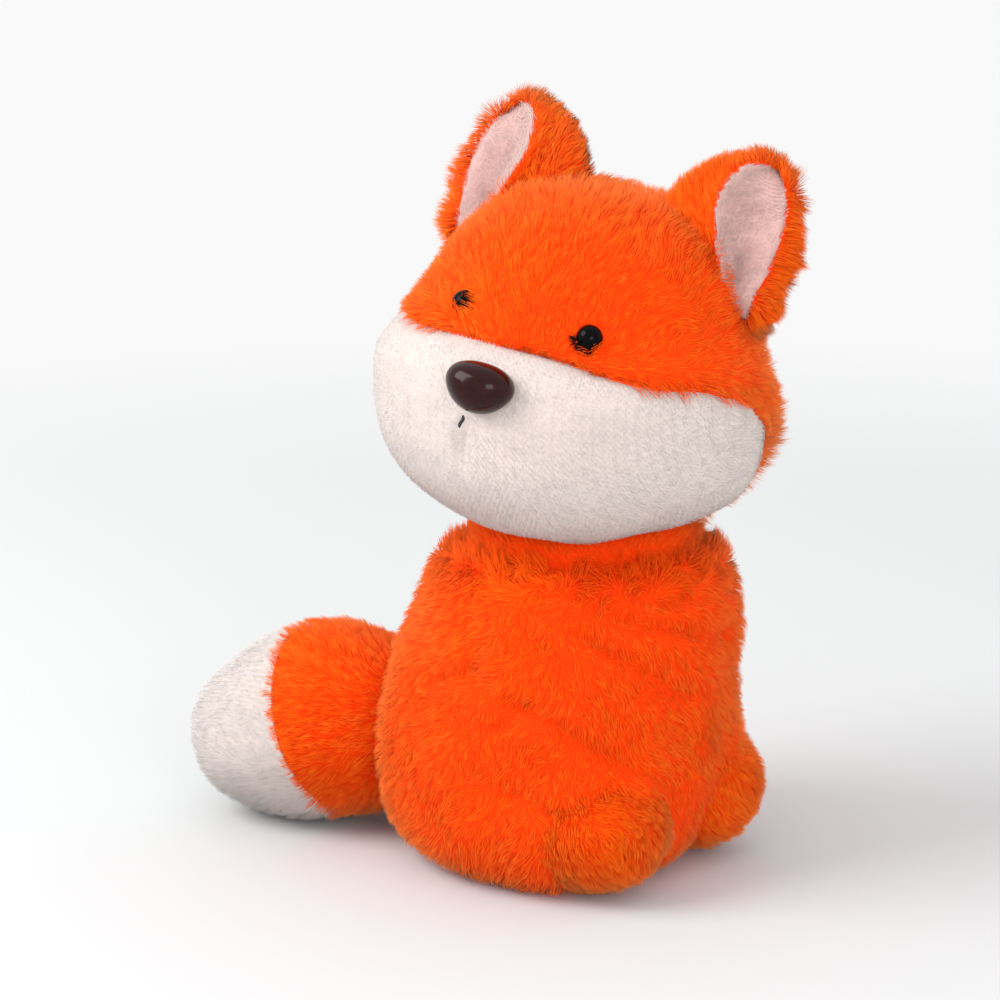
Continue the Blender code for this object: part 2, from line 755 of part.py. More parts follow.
def make_head(joint, neck_cut):
    turned = Matrix.Rotation(HEAD_TURN, 3, "Z") @ Matrix.Rotation(HEAD_ROLL, 3, "Y")
    head = empty("head_frame", (0, 0, HEAD_RISE), joint, turned)

    skin = head_form("head_skin", 0, FINE_LEVELS, head)
    hollow = as_cutter(head_form("head_hollow", -PLUSH_THICKNESS, COARSE_LEVELS, head))
    muzzle_space = as_cutter(muzzle_form("muzzle_space", SEAM_GAP, FINE_LEVELS, head))
    muzzle_hollow = as_cutter(muzzle_form("muzzle_hollow", -PLUSH_THICKNESS, COARSE_LEVELS, head))
    head_space = as_cutter(head_form("head_space", EAR_CLEARANCE, FINE_LEVELS, head))
    grooves = [
        make_ear(side, word, head, head_space) for side, word in ((-1, "right"), (1, "left"))
    ]
    cut(skin, hollow, muzzle_space, neck_cut, *grooves)

    muzzle = muzzle_form("muzzle_panel", 0, FINE_LEVELS, head)
    cut(muzzle, muzzle_hollow, hollow, neck_cut)

    filling = head_form("head_stuffing", -PLUSH_THICKNESS - FILLING_GAP, COARSE_LEVELS, head)
    muzzle_filling = as_cutter(
        muzzle_form("muzzle_stuffing", -PLUSH_THICKNESS - FILLING_GAP, COARSE_LEVELS, head)
    )
    boolean(filling, muzzle_filling, "UNION")
    cut(filling, neck_cut, *grooves)

    for side, word in ((-1, "right"), (1, "left")):
        frame = eye_frame(side, word, head)
        eye = eye_form(f"eye_{word}", 0, frame)
        dress(eye, BLACK, BEAD_ROUGHNESS)
        space = as_cutter(eye_form(f"eye_space_{word}", SEAM_GAP, frame))
        top = -PLUSH_THICKNESS - WASHER_SEAT
        washer(f"eye_washer_{word}", WASHER_RADIUS, SHANK_RADIUS + SEAM_GAP, top, frame)
        cut(skin, space)
        cut(filling, space, washer_space(f"eye_washer_space_{word}", WASHER_RADIUS, top, frame))

    out = Vector((0, -math.cos(NOSE_TILT), math.sin(NOSE_TILT)))
    muzzle_front = -MUZZLE_FORWARD - MUZZLE_HALF_DEPTH
    where = (0, muzzle_front + NOSE_INSET, NOSE_RISE)
    nose_frame = empty("nose_frame", where, head, facing(out))
    nose = nose_form("nose", 0, nose_frame)
    dress(nose, BROWN, NOSE_ROUGHNESS)
    nose_space = as_cutter(nose_form("nose_space", SEAM_GAP, nose_frame))
    top = -PLUSH_THICKNESS - NOSE_WASHER_SEAT
    washer("nose_washer", NOSE_WASHER_RADIUS, NOSE_SHANK_RADIUS + SEAM_GAP, top, nose_frame)
    cut(muzzle, nose_space)
    stitch_frame = empty(
        "stitch_frame",
        (-STITCH_SIDE, muzzle_front + STITCH_INSET, NOSE_RISE - STITCH_DROP),
        head,
        Matrix.Rotation(-STITCH_LEAN, 3, "X"),
    )
    half = STITCH_LENGTH / 2
    stitch = rod("mouth_stitch", STITCH_RADIUS, -half, half, stitch_frame)
    dress(stitch, BLACK, THREAD_ROUGHNESS)
    stitch_space = as_cutter(
        rod("stitch_space", STITCH_RADIUS + SEAM_GAP, -half - SEAM_GAP, half + SEAM_GAP, stitch_frame)
    )
    cut(muzzle, stitch_space)
    cut(filling, nose_space, washer_space("nose_washer_space", NOSE_WASHER_RADIUS, top, nose_frame))

    dress(skin, ORANGE, PILE_ROUGHNESS)
    dress(muzzle, WHITE, PILE_ROUGHNESS)
    dress(filling, FILLING, FIBRE_ROUGHNESS)


def main():
    reach = 2 * (BODY_HALF_DEPTH + PAW_FORWARD)
    floor_cut = as_cutter(
        block("floor_cut", (-reach, -reach, -CUT_OVERRUN), (reach, reach, 0), None)
    )
    neck = empty("neck_joint", (0, -BODY_LEAN, NECK_HEIGHT))
    neck_cut = as_cutter(ball("neck_space", NECK_BALL_RADIUS + SEAM_GAP, neck))
    dress(ball("neck_stuffing", NECK_BALL_RADIUS, neck), FILLING, FIBRE_ROUGHNESS)

    tail = empty(
        "tail_joint",
        (-TAIL_SIDE, TAIL_BACK, TAIL_HEIGHT),
        None,
        Matrix.Rotation(TAIL_SWING_AT_REST, 3, "Z"),
    )
    tail_cut = as_cutter(ball("tail_space", TAIL_ROOT_RADIUS + SEAM_GAP, tail))

    make_body(floor_cut, neck_cut, tail_cut)
    make_paws(floor_cut)
    make_tail(tail)
    make_head(neck, neck_cut)


main()
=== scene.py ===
"""Looks of the sitting plush fox: stuffed cloth forms, combed pile as real hairs, moulded eyes and nose.

Metres, +Z up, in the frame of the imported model. Head pieces are worked out in the head's own axes
(+X the fox's left, -Y forward, +Z up) and then carried into place.
"""

import math

import bpy
import numpy as np
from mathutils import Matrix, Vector


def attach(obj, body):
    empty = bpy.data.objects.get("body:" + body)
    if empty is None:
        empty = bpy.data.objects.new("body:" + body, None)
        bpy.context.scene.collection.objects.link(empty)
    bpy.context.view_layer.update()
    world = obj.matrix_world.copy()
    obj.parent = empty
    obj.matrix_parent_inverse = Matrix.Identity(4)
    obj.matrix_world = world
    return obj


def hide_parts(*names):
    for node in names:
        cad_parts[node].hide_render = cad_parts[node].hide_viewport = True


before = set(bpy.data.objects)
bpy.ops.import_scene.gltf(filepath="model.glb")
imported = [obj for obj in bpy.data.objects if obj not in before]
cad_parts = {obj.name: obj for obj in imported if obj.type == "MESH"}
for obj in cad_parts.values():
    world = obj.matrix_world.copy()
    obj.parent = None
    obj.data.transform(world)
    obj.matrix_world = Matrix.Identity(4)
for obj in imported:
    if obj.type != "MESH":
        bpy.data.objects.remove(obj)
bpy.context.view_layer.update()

MM = 0.001
ROW, COLUMN = 0, 1
# Steps that spread points evenly over a square: 1/p and 1/p^2, where p^3 = p + 1
SPREAD_ONE, SPREAD_TWO = 0.7548776662466927, 0.5698402909980532


def turn_about(axis, degrees):
    """The 3 by 3 matrix of a right-hand turn about X, Y or Z."""
    c, s = math.cos(math.radians(degrees)), math.sin(math.radians(degrees))
    a, b = {"X": (1, 2), "Y": (2, 0), "Z": (0, 1)}[axis]
    made = np.eye(3)
    made[a, a], made[a, b], made[b, a], made[b, b] = c, -s, s, c
    return made


class Seat:
    """A set of axes in the model's frame: point = turn @ local + place."""

    def __init__(self, turn, place):
        self.turn, self.place = turn, np.array(place)

    def points(self, local):
        return local @ self.turn.T + self.place

    def ways(self, local):
        return local @ self.turn.T

    def within(self, world):
        return (world - self.place) @ self.turn


HEAD = Seat(turn_about("Z", -79) @ turn_about("Y", 9), (0, -0.0106, 0.1545))
TAIL = Seat(turn_about("Z", 26), (-0.010, 0.0485, 0.0315))


def unit(v):
    return v / np.maximum(np.linalg.norm(v, axis=-1, keepdims=True), 1e-12)


def dot(a, b):
    return np.sum(a * b, axis=-1, keepdims=True)


def length(v):
    return np.linalg.norm(v, axis=-1)


def bell(x, width):
    """exp(-(x / width)^2): 1 in the middle and near 0 beyond two widths."""
    return np.exp(-((x / width) ** 2))


def round_steps(count):
    """Even angles round a circle, as one row."""
    return np.linspace(0, 2 * np.pi, count, endpoint=False)[None]


def ease(low, high, x):
    """0 below low and 1 above high, with a smooth rise between."""
    t = np.clip((x - low) / (high - low), 0, 1)
    return t * t * (3 - 2 * t)


def drift(points, size, seed, count=7):
    """A smooth wander between about -1 and 1: the mean of sines along count random ways.

    size is about how many metres one wave is long, and each use has a seed of its own.
    """
    rng = np.random.default_rng(seed)
    ways = unit(rng.normal(size=(count, 3)))
    rates = rng.uniform(0.6, 1.5, count) * 2 * np.pi / size
    phases = rng.uniform(0, 2 * np.pi, count)
    return np.sin(points @ (ways * rates[:, None]).T + phases).mean(axis=-1) * 1.6


def wander(points, size, seed):
    """A smooth random vector at each point."""
    return np.stack([drift(points, size, seed + k) for k in range(3)], axis=-1)


class Skin:
    """A closed surface on a grid. Its first and last rows are poles, and its columns run round."""

    def __init__(self, points):
        self.points = points
        along = np.gradient(points, axis=ROW)
        round_it = np.roll(points, -1, axis=COLUMN) - np.roll(points, 1, axis=COLUMN)
        normals = unit(np.cross(round_it, along))
        middle = points.reshape(-1, 3).mean(axis=0)
        self.outward = 1 if np.sum(normals[1:-1] * (points[1:-1] - middle)) > 0 else -1
        normals *= self.outward
        normals[0], normals[-1] = normals[1].mean(axis=0), normals[-2].mean(axis=0)
        self.normals = unit(normals)

    def mesh(self, name):
        rows, columns = self.points.shape[:2]
        inner = self.points[1:-1].reshape(-1, 3)
        verts = np.concatenate([self.points[:1, 0], inner, self.points[-1:, 0]])
        at = 1 + np.arange((rows - 2) * columns).reshape(rows - 2, columns)
        after = np.roll(at, -1, axis=1)
        quads = np.stack([at[:-1], after[:-1], after[1:], at[1:]], axis=-1).reshape(-1, 4)
        last = len(verts) - 1
        first_fan = np.stack([np.zeros(columns, int), after[0], at[0]], axis=-1)
        last_fan = np.stack([np.full(columns, last), at[-1], after[-1]], axis=-1)
        faces = [quads, first_fan, last_fan]
        if self.outward < 0:
            faces = [f[:, ::-1] for f in faces]
        return new_mesh(name, verts, faces)

    def scatter(self, count, seed, cover):
        """Places spread as cover says: rows and then columns are drawn from sums of cell area times cover."""
        p = self.points
        nxt = np.roll(p, -1, axis=COLUMN)
        a, b, c, d = p[:-1], nxt[:-1], nxt[1:], p[1:]
        area = length(np.cross(c - a, d - b)) / 2 * cover((a + b + c + d) / 4)
        rows, columns = area.shape
        by_row = np.concatenate([[0], np.cumsum(area.sum(axis=1))])
        by_row /= by_row[-1]
        k = np.arange(count) + 0.5
        shift = np.random.default_rng(seed).uniform(size=2)
        s = (k * SPREAD_ONE + shift[0]) % 1
        t = (k * SPREAD_TWO + shift[1]) % 1
        row = np.clip(np.searchsorted(by_row, s, side="right") - 1, 0, rows - 1)
        up = (s - by_row[row]) / np.maximum(by_row[row + 1] - by_row[row], 1e-12)
        sums = np.concatenate([np.zeros((rows, 1)), np.cumsum(area, axis=1)], axis=1)
        sums = sums / np.maximum(sums[:, -1:], 1e-12)
        stacked = (sums[:, 1:] + np.arange(rows)[:, None]).reshape(-1)
        place = np.clip(np.searchsorted(stacked, row + t, side="left"), 0, stacked.size - 1)
        column = np.clip(place - row * columns, 0, columns - 1)
        low, high = sums[row, column], sums[row, column + 1]
        over = ((t - low) / np.maximum(high - low, 1e-12))[:, None]
        up = up[:, None]
        right = (column + 1) % columns

        def blend(grid):
            bottom = grid[row, column] * (1 - over) + grid[row, right] * over
            top = grid[row + 1, column] * (1 - over) + grid[row + 1, right] * over
            return bottom * (1 - up) + top * up

        return blend(p), unit(blend(self.normals))


def add_object(name, data):
    made = bpy.data.objects.new(name, data)
    bpy.context.scene.collection.objects.link(made)
    return made


def new_mesh(name, verts, face_groups):
    """A mesh object from vertices and arrays of triangles and quads, smooth shaded."""
    mesh = bpy.data.meshes.new(name)
    loops = np.concatenate([f.reshape(-1) for f in face_groups])
    sizes = np.concatenate([np.full(len(f), f.shape[1]) for f in face_groups])
    mesh.vertices.add(len(verts))
    mesh.vertices.foreach_set("co", np.ascontiguousarray(verts, np.float32).reshape(-1))
    mesh.loops.add(len(loops))
    mesh.loops.foreach_set("vertex_index", loops.astype(np.int32))
    mesh.polygons.add(len(sizes))
    starts = np.concatenate([[0], np.cumsum(sizes)[:-1]])
    mesh.polygons.foreach_set("loop_start", starts.astype(np.int32))
    mesh.polygons.foreach_set("use_smooth", np.ones(len(sizes), bool))
    mesh.update(calc_edges=True)
    return add_object(name, mesh)


def b_spline(rows, count):
    """A uniform cubic B-spline through the rows of a table, as a subdivided cage is drawn in.

    Over each span P(t) = ((1-t)^3 A + (3t^3-6t^2+4) B + (-3t^3+3t^2+3t+1) C + t^3 D) / 6.
    """
    spans = len(rows) - 3
    at = np.linspace(0, spans, count)
    k = np.minimum(at.astype(int), spans - 1)
    t = (at - k)[:, None]
    shares = ((1 - t) ** 3, 3 * t**3 - 6 * t**2 + 4, -3 * t**3 + 3 * t**2 + 3 * t + 1, t**3)
    return sum(share * rows[k + j] for j, share in enumerate(shares)) / 6


class Form:
    """A stuffed form: oval sections whose middles and half sizes run smoothly along one axis.

    Each row is (station, middle across, middle up, half width, half height) in millimetres. The
    section at a station is |x/a|^k + |y/b|^k = 1, with k = 2 below the middle and squareness above.
    """

    def __init__(self, rows, axes="zxy", squareness=2.0, inset=0.0):
        table = np.array(rows, float) * MM
        ends = table[0, 0], table[-1, 0]
        middle, half = (ends[0] + ends[1]) / 2, abs(ends[1] - ends[0]) / 2
        table[:, 0] = middle + (table[:, 0] - middle) * (1 - inset / half)
        table[:, 3:] -= inset
        point = np.array([1, 1, 1, 0, 0])
        self.rows = np.concatenate([[table[0] * point] * 3, table, [table[-1] * point] * 3])
        self.axes = ["xyz".index(letter) for letter in axes]
        self.squareness = squareness
        self.dense = b_spline(self.rows, 400)
        if self.dense[-1, 0] < self.dense[0, 0]:
            self.dense = self.dense[::-1]

    def points(self, rows, columns):
        steps = b_spline(self.rows, 600)
        run = np.concatenate([[0], np.cumsum(length(np.diff(steps, axis=0)))])
        even = np.linspace(0, run[-1], rows)
        station, across, up, half_across, half_up = (
            np.interp(even, run, column)[:, None] for column in steps.T
        )
        for half in (half_across, half_up):
            half[0] = half[-1] = 0
        u = round_steps(columns)
        power = np.where(np.sin(u) > 0, self.squareness, 2.0)
        r = (np.abs(np.cos(u)) ** power + np.abs(np.sin(u)) ** power) ** (-1 / power)
        made = np.empty((rows, columns, 3))
        made[..., self.axes[0]] = station
        made[..., self.axes[1]] = across + half_across * r * np.cos(u)
        made[..., self.axes[2]] = up + half_up * r * np.sin(u)
        return made

    def field(self, p):
        """Under 0 inside the form, and about the distance from its surface near it."""
        station = p[..., self.axes[0]]
        across, up, half_across, half_up = (
            np.interp(station, self.dense[:, 0], self.dense[:, k]) for k in range(1, 5)
        )
        x = np.abs(p[..., self.axes[1]] - across) / np.maximum(half_across, 1e-5)
        rise = p[..., self.axes[2]] - up
        y = np.abs(rise) / np.maximum(half_up, 1e-5)
        power = np.where(rise > 0, self.squareness, 2.0)
        size = (x**power + y**power) ** (1 / power)
        beside = (size - 1) * np.maximum(np.minimum(half_across, half_up), 1e-4)
        beyond = np.maximum(station - self.dense[-1, 0], self.dense[0, 0] - station)
        return np.maximum(beside, beyond)


def flattened(points, place, way):
    """Points beyond a plane are brought back onto it: p - n max(0, (p - place) . n)."""
    way = unit(way)
    return points - np.maximum(dot(points - place, way), 0) * way


class Socket:
    """A node's output in a material, on which Python's operators add Math nodes."""

    def __init__(self, paint, out):
        self.paint, self.out = paint, out

    def _math(self, operation, a, b=None):
        return self.paint.node("ShaderNodeMath", {"operation": operation}, {0: a, 1: b})

    def __add__(self, other):
        return self._math("ADD", self, other)

    def __sub__(self, other):
        return self._math("SUBTRACT", self, other)

    def __rsub__(self, other):
        return self._math("SUBTRACT", other, self)

    def __mul__(self, other):
        return self._math("MULTIPLY", self, other)

    __radd__ = __add__
    __rmul__ = __mul__


class Paint:
    """A material whose nodes are added one at a time."""

    def __init__(self, name, **constants):
        self.material = bpy.data.materials.new(name)
        self.material.use_nodes = True
        self.nodes = self.material.node_tree.nodes
        self.links = self.material.node_tree.links
        self.shader = self.nodes["Principled BSDF"]
        for key, value in constants.items():
            self.set(key.replace("_", " "), value)

    def node(self, kind, settings=None, inputs=None, output=0):
        made = self.nodes.new(kind)
        for key, value in (settings or {}).items():
            setattr(made, key, value)
        for key, value in (inputs or {}).items():
            self.feed(made.inputs[key], value)
        return Socket(self, made.outputs[output])

    def feed(self, target, value):
        if isinstance(value, Socket):
            self.links.new(value.out, target)
        elif value is not None:
            target.default_value = (*value, 1) if target.type == "RGBA" else value

    def set(self, name, value):
        self.feed(self.shader.inputs[name], value)
        return self

    def place(self):
        return self.node("ShaderNodeTexCoord", output=3)

    def grain(self, scale, detail=2.0):
        """Noise in the object's own metres."""
        return self.node("ShaderNodeTexNoise", {}, {"Vector": self.place(), "Scale": scale, "Detail": detail})

    def mix(self, factor, a, b):
        return self.node("ShaderNodeMix", {"data_type": "RGBA"}, {0: factor, 6: a, 7: b}, output=2)

    def bump(self, height, strength, distance):
        inputs = {"Strength": strength, "Distance": distance, "Height": height}
        return self.set("Normal", self.node("ShaderNodeBump", {}, inputs))


# The colour of the orange pile's thin lit edges
EDGE_TINT = (1.0, 0.46, 0.17)
# How deep light goes into the pale pile, and that depth's shares for red, green and blue
LIGHT_DEPTH, LIGHT_SHARES = 0.6 * MM, (1.0, 0.8, 0.7)


def pile_material(name, root, tip, patch, shade, sheen=0.0, through=0.0):
    """Hairs lighten from root to tip along V, painted shade at the roots and painted light at the tips; they
    differ with U, drift in patches and have painted shade between tufts.
    """
    paint = Paint(name, Roughness=0.85, Specular_IOR_Level=0.05, Sheen_Weight=sheen, Sheen_Tint=EDGE_TINT)
    paint.set("Subsurface Weight", through).set("Subsurface Scale", LIGHT_DEPTH)
    paint.set("Subsurface Radius", LIGHT_SHARES)
    where = paint.node("ShaderNodeUVMap", {"uv_map": "hair"})
    hair = paint.node("ShaderNodeSeparateXYZ", {}, {0: where})
    along = Socket(paint, hair.out.node.outputs[1])
    run = paint.mix(along + (hair - 0.5) * 0.45, root, tip)
    soft = paint.grain(34)
    patched = paint.mix((soft - 0.40) * 2.2, run, patch)
    # Noise at about a tuft's size mixes in the shade colour: painted shade between tufts
    tufts = paint.grain(230)
    return paint.set("Base Color", paint.mix((0.52 - tufts) * 3.0, patched, shade)).material


def cloth_material(name, colour, deep):
    """Backing cloth between the hairs: a fine knit bump, with painted shade in its low spots."""
    paint = Paint(name, Roughness=0.9, Specular_IOR_Level=0.1)
    knit = paint.grain(900)
    patches = paint.grain(60)
    paint.set("Base Color", paint.mix(knit * 0.6 + patches * 0.4, deep, colour))
    return paint.bump(knit, 0.4, 0.0004).material


orange_pile = pile_material(
    "orange_pile",
    root=(0.97, 0.058, 0.001),
    tip=(1.0, 0.215, 0.014),
    patch=(1.0, 0.125, 0.002),
    shade=(0.98, 0.065, 0.001),
    sheen=0.45,
)
white_pile = pile_material(
    "white_pile",
    root=(0.63, 0.53, 0.49),
    tip=(0.70, 0.63, 0.60),
    patch=(0.66, 0.57, 0.535),
    shade=(0.63, 0.53, 0.495),
    through=0.5,
)
lining_pile = pile_material(
    "lining_pile",
    root=(0.52, 0.31, 0.28),
    tip=(0.69, 0.54, 0.51),
    patch=(0.58, 0.33, 0.29),
    shade=(0.56, 0.35, 0.32),
    through=0.5,
)
orange_cloth = cloth_material("orange_cloth", (0.97, 0.060, 0.001), (0.94, 0.040, 0.001))
white_cloth = cloth_material("white_cloth", (0.68, 0.59, 0.55), (0.65, 0.55, 0.51))
lining_cloth = cloth_material("lining_cloth", (0.64, 0.43, 0.40), (0.54, 0.31, 0.28))


def nearest(points, centres, chunk=4000):
    """The index of the nearest centre to each point, by |b|^2 - 2 a.b."""
    made = np.empty(len(points), int)
    squares = np.sum(centres**2, axis=1)
    for start in range(0, len(points), chunk):
        part = points[start : start + chunk]
        made[start : start + chunk] = np.argmin(squares - 2 * part @ centres.T, axis=1)
    return made


class Hairs:
    """Bent hairs: points (count, root to tip, xyz), radii, the cloth's normals at the roots, and lit.

    A hair is lit 1 where it stands in the open and less in a fold or between tufts; a less lit hair is
    painted nearer its root colour, as painted shade.
    """

    def __init__(self, points, radii, normals, lit):
        self.points, self.radii, self.normals, self.lit = points, radii, normals, lit

    def seated(self, seat):
        return Hairs(seat.points(self.points), self.radii, seat.ways(self.normals), self.lit)

    def some(self, chosen):
        return Hairs(self.points[chosen], self.radii[chosen], self.normals[chosen], self.lit[chosen])

    def mesh(self, name, seed, softness):
        """Closed three-sided spikes.

        Corner k of ring j is p_j + r_j (e1 cos a_k + e2 sin a_k), with e1 and e2 square to the hair.
        A corner's normal is the cloth's, turned a little to the hair's own, so the pile shades softly.
        """
        points, count = self.points, len(self.points)
        way = unit(points[:, 2] - points[:, 0])
        side = unit(np.cross(way, (0.31, 0.57, 0.76)))
        other = np.cross(way, side)
        spin = 2 * np.pi * ((np.arange(count)[:, None] * SPREAD_ONE) % 1 + np.arange(3) / 3)
        spokes = side[:, None] * np.cos(spin)[..., None] + other[:, None] * np.sin(spin)[..., None]
        low = points[:, None, 0] + spokes * self.radii[:, None, None]
        mid = points[:, None, 1] + spokes * (0.85 * self.radii)[:, None, None]
        verts = np.concatenate([low, mid, points[:, 2:3]], axis=1)
        own = np.concatenate([spokes, spokes, way[:, None]], axis=1)
        soft = unit(softness * self.normals[:, None] + (1 - softness) * own)
        base = (7 * np.arange(count))[:, None, None]
        quads = np.array([[0, 1, 4, 3], [1, 2, 5, 4], [2, 0, 3, 5]]) + base
        tris = np.array([[3, 4, 6], [4, 5, 6], [5, 3, 6], [0, 2, 1]]) + base
        made = new_mesh(name, verts.reshape(-1, 3), [quads.reshape(-1, 4), tris.reshape(-1, 3)])
        tints = np.random.default_rng(seed).uniform(size=count)
        # V runs from root to tip times the hair's lit, which paints shade into its colour
        runs = np.array([0, 0, 0, 0.5, 0.5, 0.5, 1.0])
        layout = np.stack([np.repeat(tints, 7), (self.lit[:, None] * runs).reshape(-1)], axis=-1)
        layer = made.data.uv_layers.new(name="hair")
        corners = np.empty(len(made.data.loops), np.int32)
        made.data.loops.foreach_get("vertex_index", corners)
        layer.data.foreach_set("uv", layout[corners].astype(np.float32).reshape(-1))
        made.data.normals_split_custom_set_from_vertices(soft.reshape(-1, 3))
        return made


HAIRS_IN_A_PIECE = 19000
HAIR = 0.105 * MM
# A hair in about fourteen draws its neighbours' tips into a tuft, and hairs between tufts are less lit
TUFT_SHARE, GAP_SHADE = 0.07, 0.45


def comb(
    roots, normals, flow, long, stand=1.0, tuft=1.8 * MM, pull=0.5, loose=0.85, seed=1, radius=HAIR, lit=1.0
):
    """Bent hairs whose tips gather in tufts.

    flow is the way in which the pile is combed, long its length, and stand how steeply it leaves the
    cloth. tuft is a tuft's reach, pull how firmly it gathers, and loose how far the hairs stray.
    Half way: root + long/2 * (n (stand + .35) + flow), tip: that + long/2 * (n (stand - .15) + flow).
    """
    rng = np.random.default_rng(seed)
    count = len(roots)
    flow = unit(flow - dot(flow, normals) * normals)
    flow = flow + loose * wander(roots, 0.0065, seed) + 0.35 * loose * rng.normal(size=(count, 3))
    flow = unit(flow - dot(flow, normals) * normals)
    stand = np.broadcast_to(stand, (count,))[:, None]
    long = np.broadcast_to(long, (count,)) * rng.uniform(0.75, 1.15, count)
    long = (long * (1 + 0.22 * drift(roots, 0.006, seed + 9)))[:, None]
    mid = roots + unit(normals * (stand + 0.35) + flow) * long / 2
    tip = mid + unit(normals * (stand - 0.15) + flow) * long / 2
    picked = rng.permutation(count)[: int(count * TUFT_SHARE)]
    owner = picked[nearest(roots.astype(np.float32), roots[picked].astype(np.float32))]
    reach = length(tip[owner] - tip)[:, None]
    pulls = pull * rng.uniform(0.6, 1.2, count)[:, None] * np.clip(1.6 * tuft / np.maximum(reach, 1e-9), 0, 1)
    tip = tip + (tip[owner] - tip) * pulls
    mid = mid + (mid[owner] - mid) * pulls * 0.45
    lit = lit * (1 - GAP_SHADE * ease(0.6 * tuft, 1.2 * tuft, reach[:, 0]))
    radii = radius * rng.uniform(0.75, 1.2, count)
    return Hairs(np.stack([roots, mid, tip], axis=1), radii, normals, lit)


LOWEST_TIP = 0.3 * MM


def make_pile(name, body, material, hairs, seed, softness=0.85):
    """Hairs as one or more pieces, cut at the quantiles of a slanting direction."""
    hairs.points[..., 2] = np.maximum(hairs.points[..., 2], LOWEST_TIP)
    order = np.argsort(hairs.points[:, 0] @ (0.53, 0.21, 0.82), kind="stable")
    parts = math.ceil(len(order) / HAIRS_IN_A_PIECE)
    for k, chosen in enumerate(np.array_split(order, parts)):
        title = name if parts == 1 else f"{name}_{k + 1}"
        piece = hairs.some(chosen).mesh(title, seed + k, softness)
        piece.data.materials.append(material)
        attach(piece, body)


def make_piece(name, skin, body, material, nodes):
    """One closed surface that rides a body and stands for the CAD nodes, which it hides."""
    piece = skin.mesh(name)
    piece.data.materials.append(material)
    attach(piece, body)
    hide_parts(*nodes)


# How far the backing cloth lies inside the tips of the pile, and how far it keeps above the floor
DEEP_PILE = 2.9 * MM
MIDDLE_PILE = 1.9 * MM
SHORT_PILE = 1.2 * MM
FLOOR_CLEARANCE = 0.5 * MM
# How near pile comes to the floor and the paws, and how far it runs on inside another form
PILE_MARGIN = 1.0 * MM
# The short even pile of the white face and of the ears' linings
VELVET = {"tuft": 0.6 * MM, "pull": 0.2, "radius": 0.10 * MM}
VELVET_SOFTNESS = 1.0
# How many hairs each piece of pile has
BODY_HAIRS, PAW_HAIRS, NECK_HAIRS, HEAD_HAIRS = 52500, 5500, 4000, 40000
MUZZLE_HAIRS, CHEEK_HAIRS, SLEEVE_HAIRS, TIP_HAIRS = 19000, 3800, 11200, 10800
EAR_HAIRS, LINING_HAIRS, LASHES = 9500, 3200, 260


def seated(skin, seat):
    return Skin(seat.points(skin.points))


def on_floor(points):
    points[..., 2] = np.maximum(points[..., 2], FLOOR_CLEARANCE)
    return points


def dented(skin, amount):
    """The same skin pushed in along its normals by an amount worked out from its points."""
    return Skin(skin.points - skin.normals * amount(skin.points)[..., None])


def crease(points, path, width, depth):
    """depth * exp(-(d / width)^2), where d is the distance to the nearest stretch of the path."""
    nearest_yet = np.full(points.shape[:-1], np.inf)
    for a, b in zip(path, path[1:]):
        run = b - a
        share = np.clip((points - a) @ run / (run @ run), 0, 1)
        nearest_yet = np.minimum(nearest_yet, length(points - a - share[..., None] * run))
    return depth * bell(nearest_yet, width)


# The body: height, middle across, lean, half width and half depth, as shares of its sizes
BODY_SIZES = (99.8, 1, -10.6, 53.5, 54.5)
BODY_SHARES = (
    (-0.03, 0, -0.10, 0.78, 0.78),
    (0.11, 0, -0.16, 1.00, 1.00),
    (0.42, 0, -0.08, 1.03, 1.03),
    (0.72, 0, 0.62, 0.94, 0.95),
    (0.97, 0, 1.00, 0.86, 0.85),
    (1.02, 0, 1.00, 0.60, 0.60),
)
BODY_ROWS = np.array(BODY_SHARES) * BODY_SIZES
BODY_CLOTH = Form(BODY_ROWS, inset=DEEP_PILE)
BODY_MIDDLE = np.array([0.0, -0.006, 0.0])

# Creases of the chest and belly, as azimuths in degrees and heights in millimetres
BODY_CREASES = (
    ((-76, 95), (-66, 81), (-54, 73)),
    ((-61, 94), (-52, 83), (-35, 74), (-20, 67)),
    ((-48, 94), (-34, 86), (-8, 79), (14, 74)),
    ((-38, 96), (-19, 90), (27, 85)),
    ((-76, 62), (-59, 56), (-49, 51), (-34, 42), (-20, 35)),
    ((-95, 56), (-82, 53), (-69, 60)),
    ((-105, 64), (-95, 67), (-83, 67)),
    ((-89, 39), (-71, 34), (-55, 28)),
    ((-97, 87), (-86, 78), (-91, 69)),
    ((-124, 40), (-113, 34), (-97, 28)),
    ((-29, 65), (-7, 61), (33, 61)),
)
CREASE_WIDTH, CREASE_DEPTH, CREASE_REACH = 2.4 * MM, 2.2 * MM, 48 * MM
PAW_FILLET, FILLET_REACH = 3.2 * MM, 7 * MM
# The chest's pile fans out from the first place, and the collar's stands away from the second
FAN_MIDDLE = np.array([-0.036, -0.042, 0.106])
NECK_MIDDLE = np.array([0.0, -0.0106, 0.1])


def on_chest(azimuth, height):
    """middle + (r sin a, -r cos a, h)"""
    a = math.radians(azimuth)
    return BODY_MIDDLE + (math.sin(a) * CREASE_REACH, -math.cos(a) * CREASE_REACH, height * MM)


def body_folds(points):
    paths = [[on_chest(*place) for place in path] for path in BODY_CREASES]
    return sum(crease(points, path, CREASE_WIDTH, CREASE_DEPTH) for path in paths)


def body_dents(points):
    """Broad lumps, narrow folds, and a swell where a paw comes out of the belly."""
    total = 0.8 * MM * drift(points, 0.026, 3) + body_folds(points)
    for side in (-1, 1):
        near = np.maximum(paw_form(side).field(points), 0)
        outside = ease(12 * MM, 24 * MM, side * points[..., 0])
        total = total - PAW_FILLET * outside * bell(near, FILLET_REACH)
    return total


def dull(p, seed):
    """Patches of pile that are a little less lit."""
    return 0.12 * (1 + drift(p, 0.014, seed))


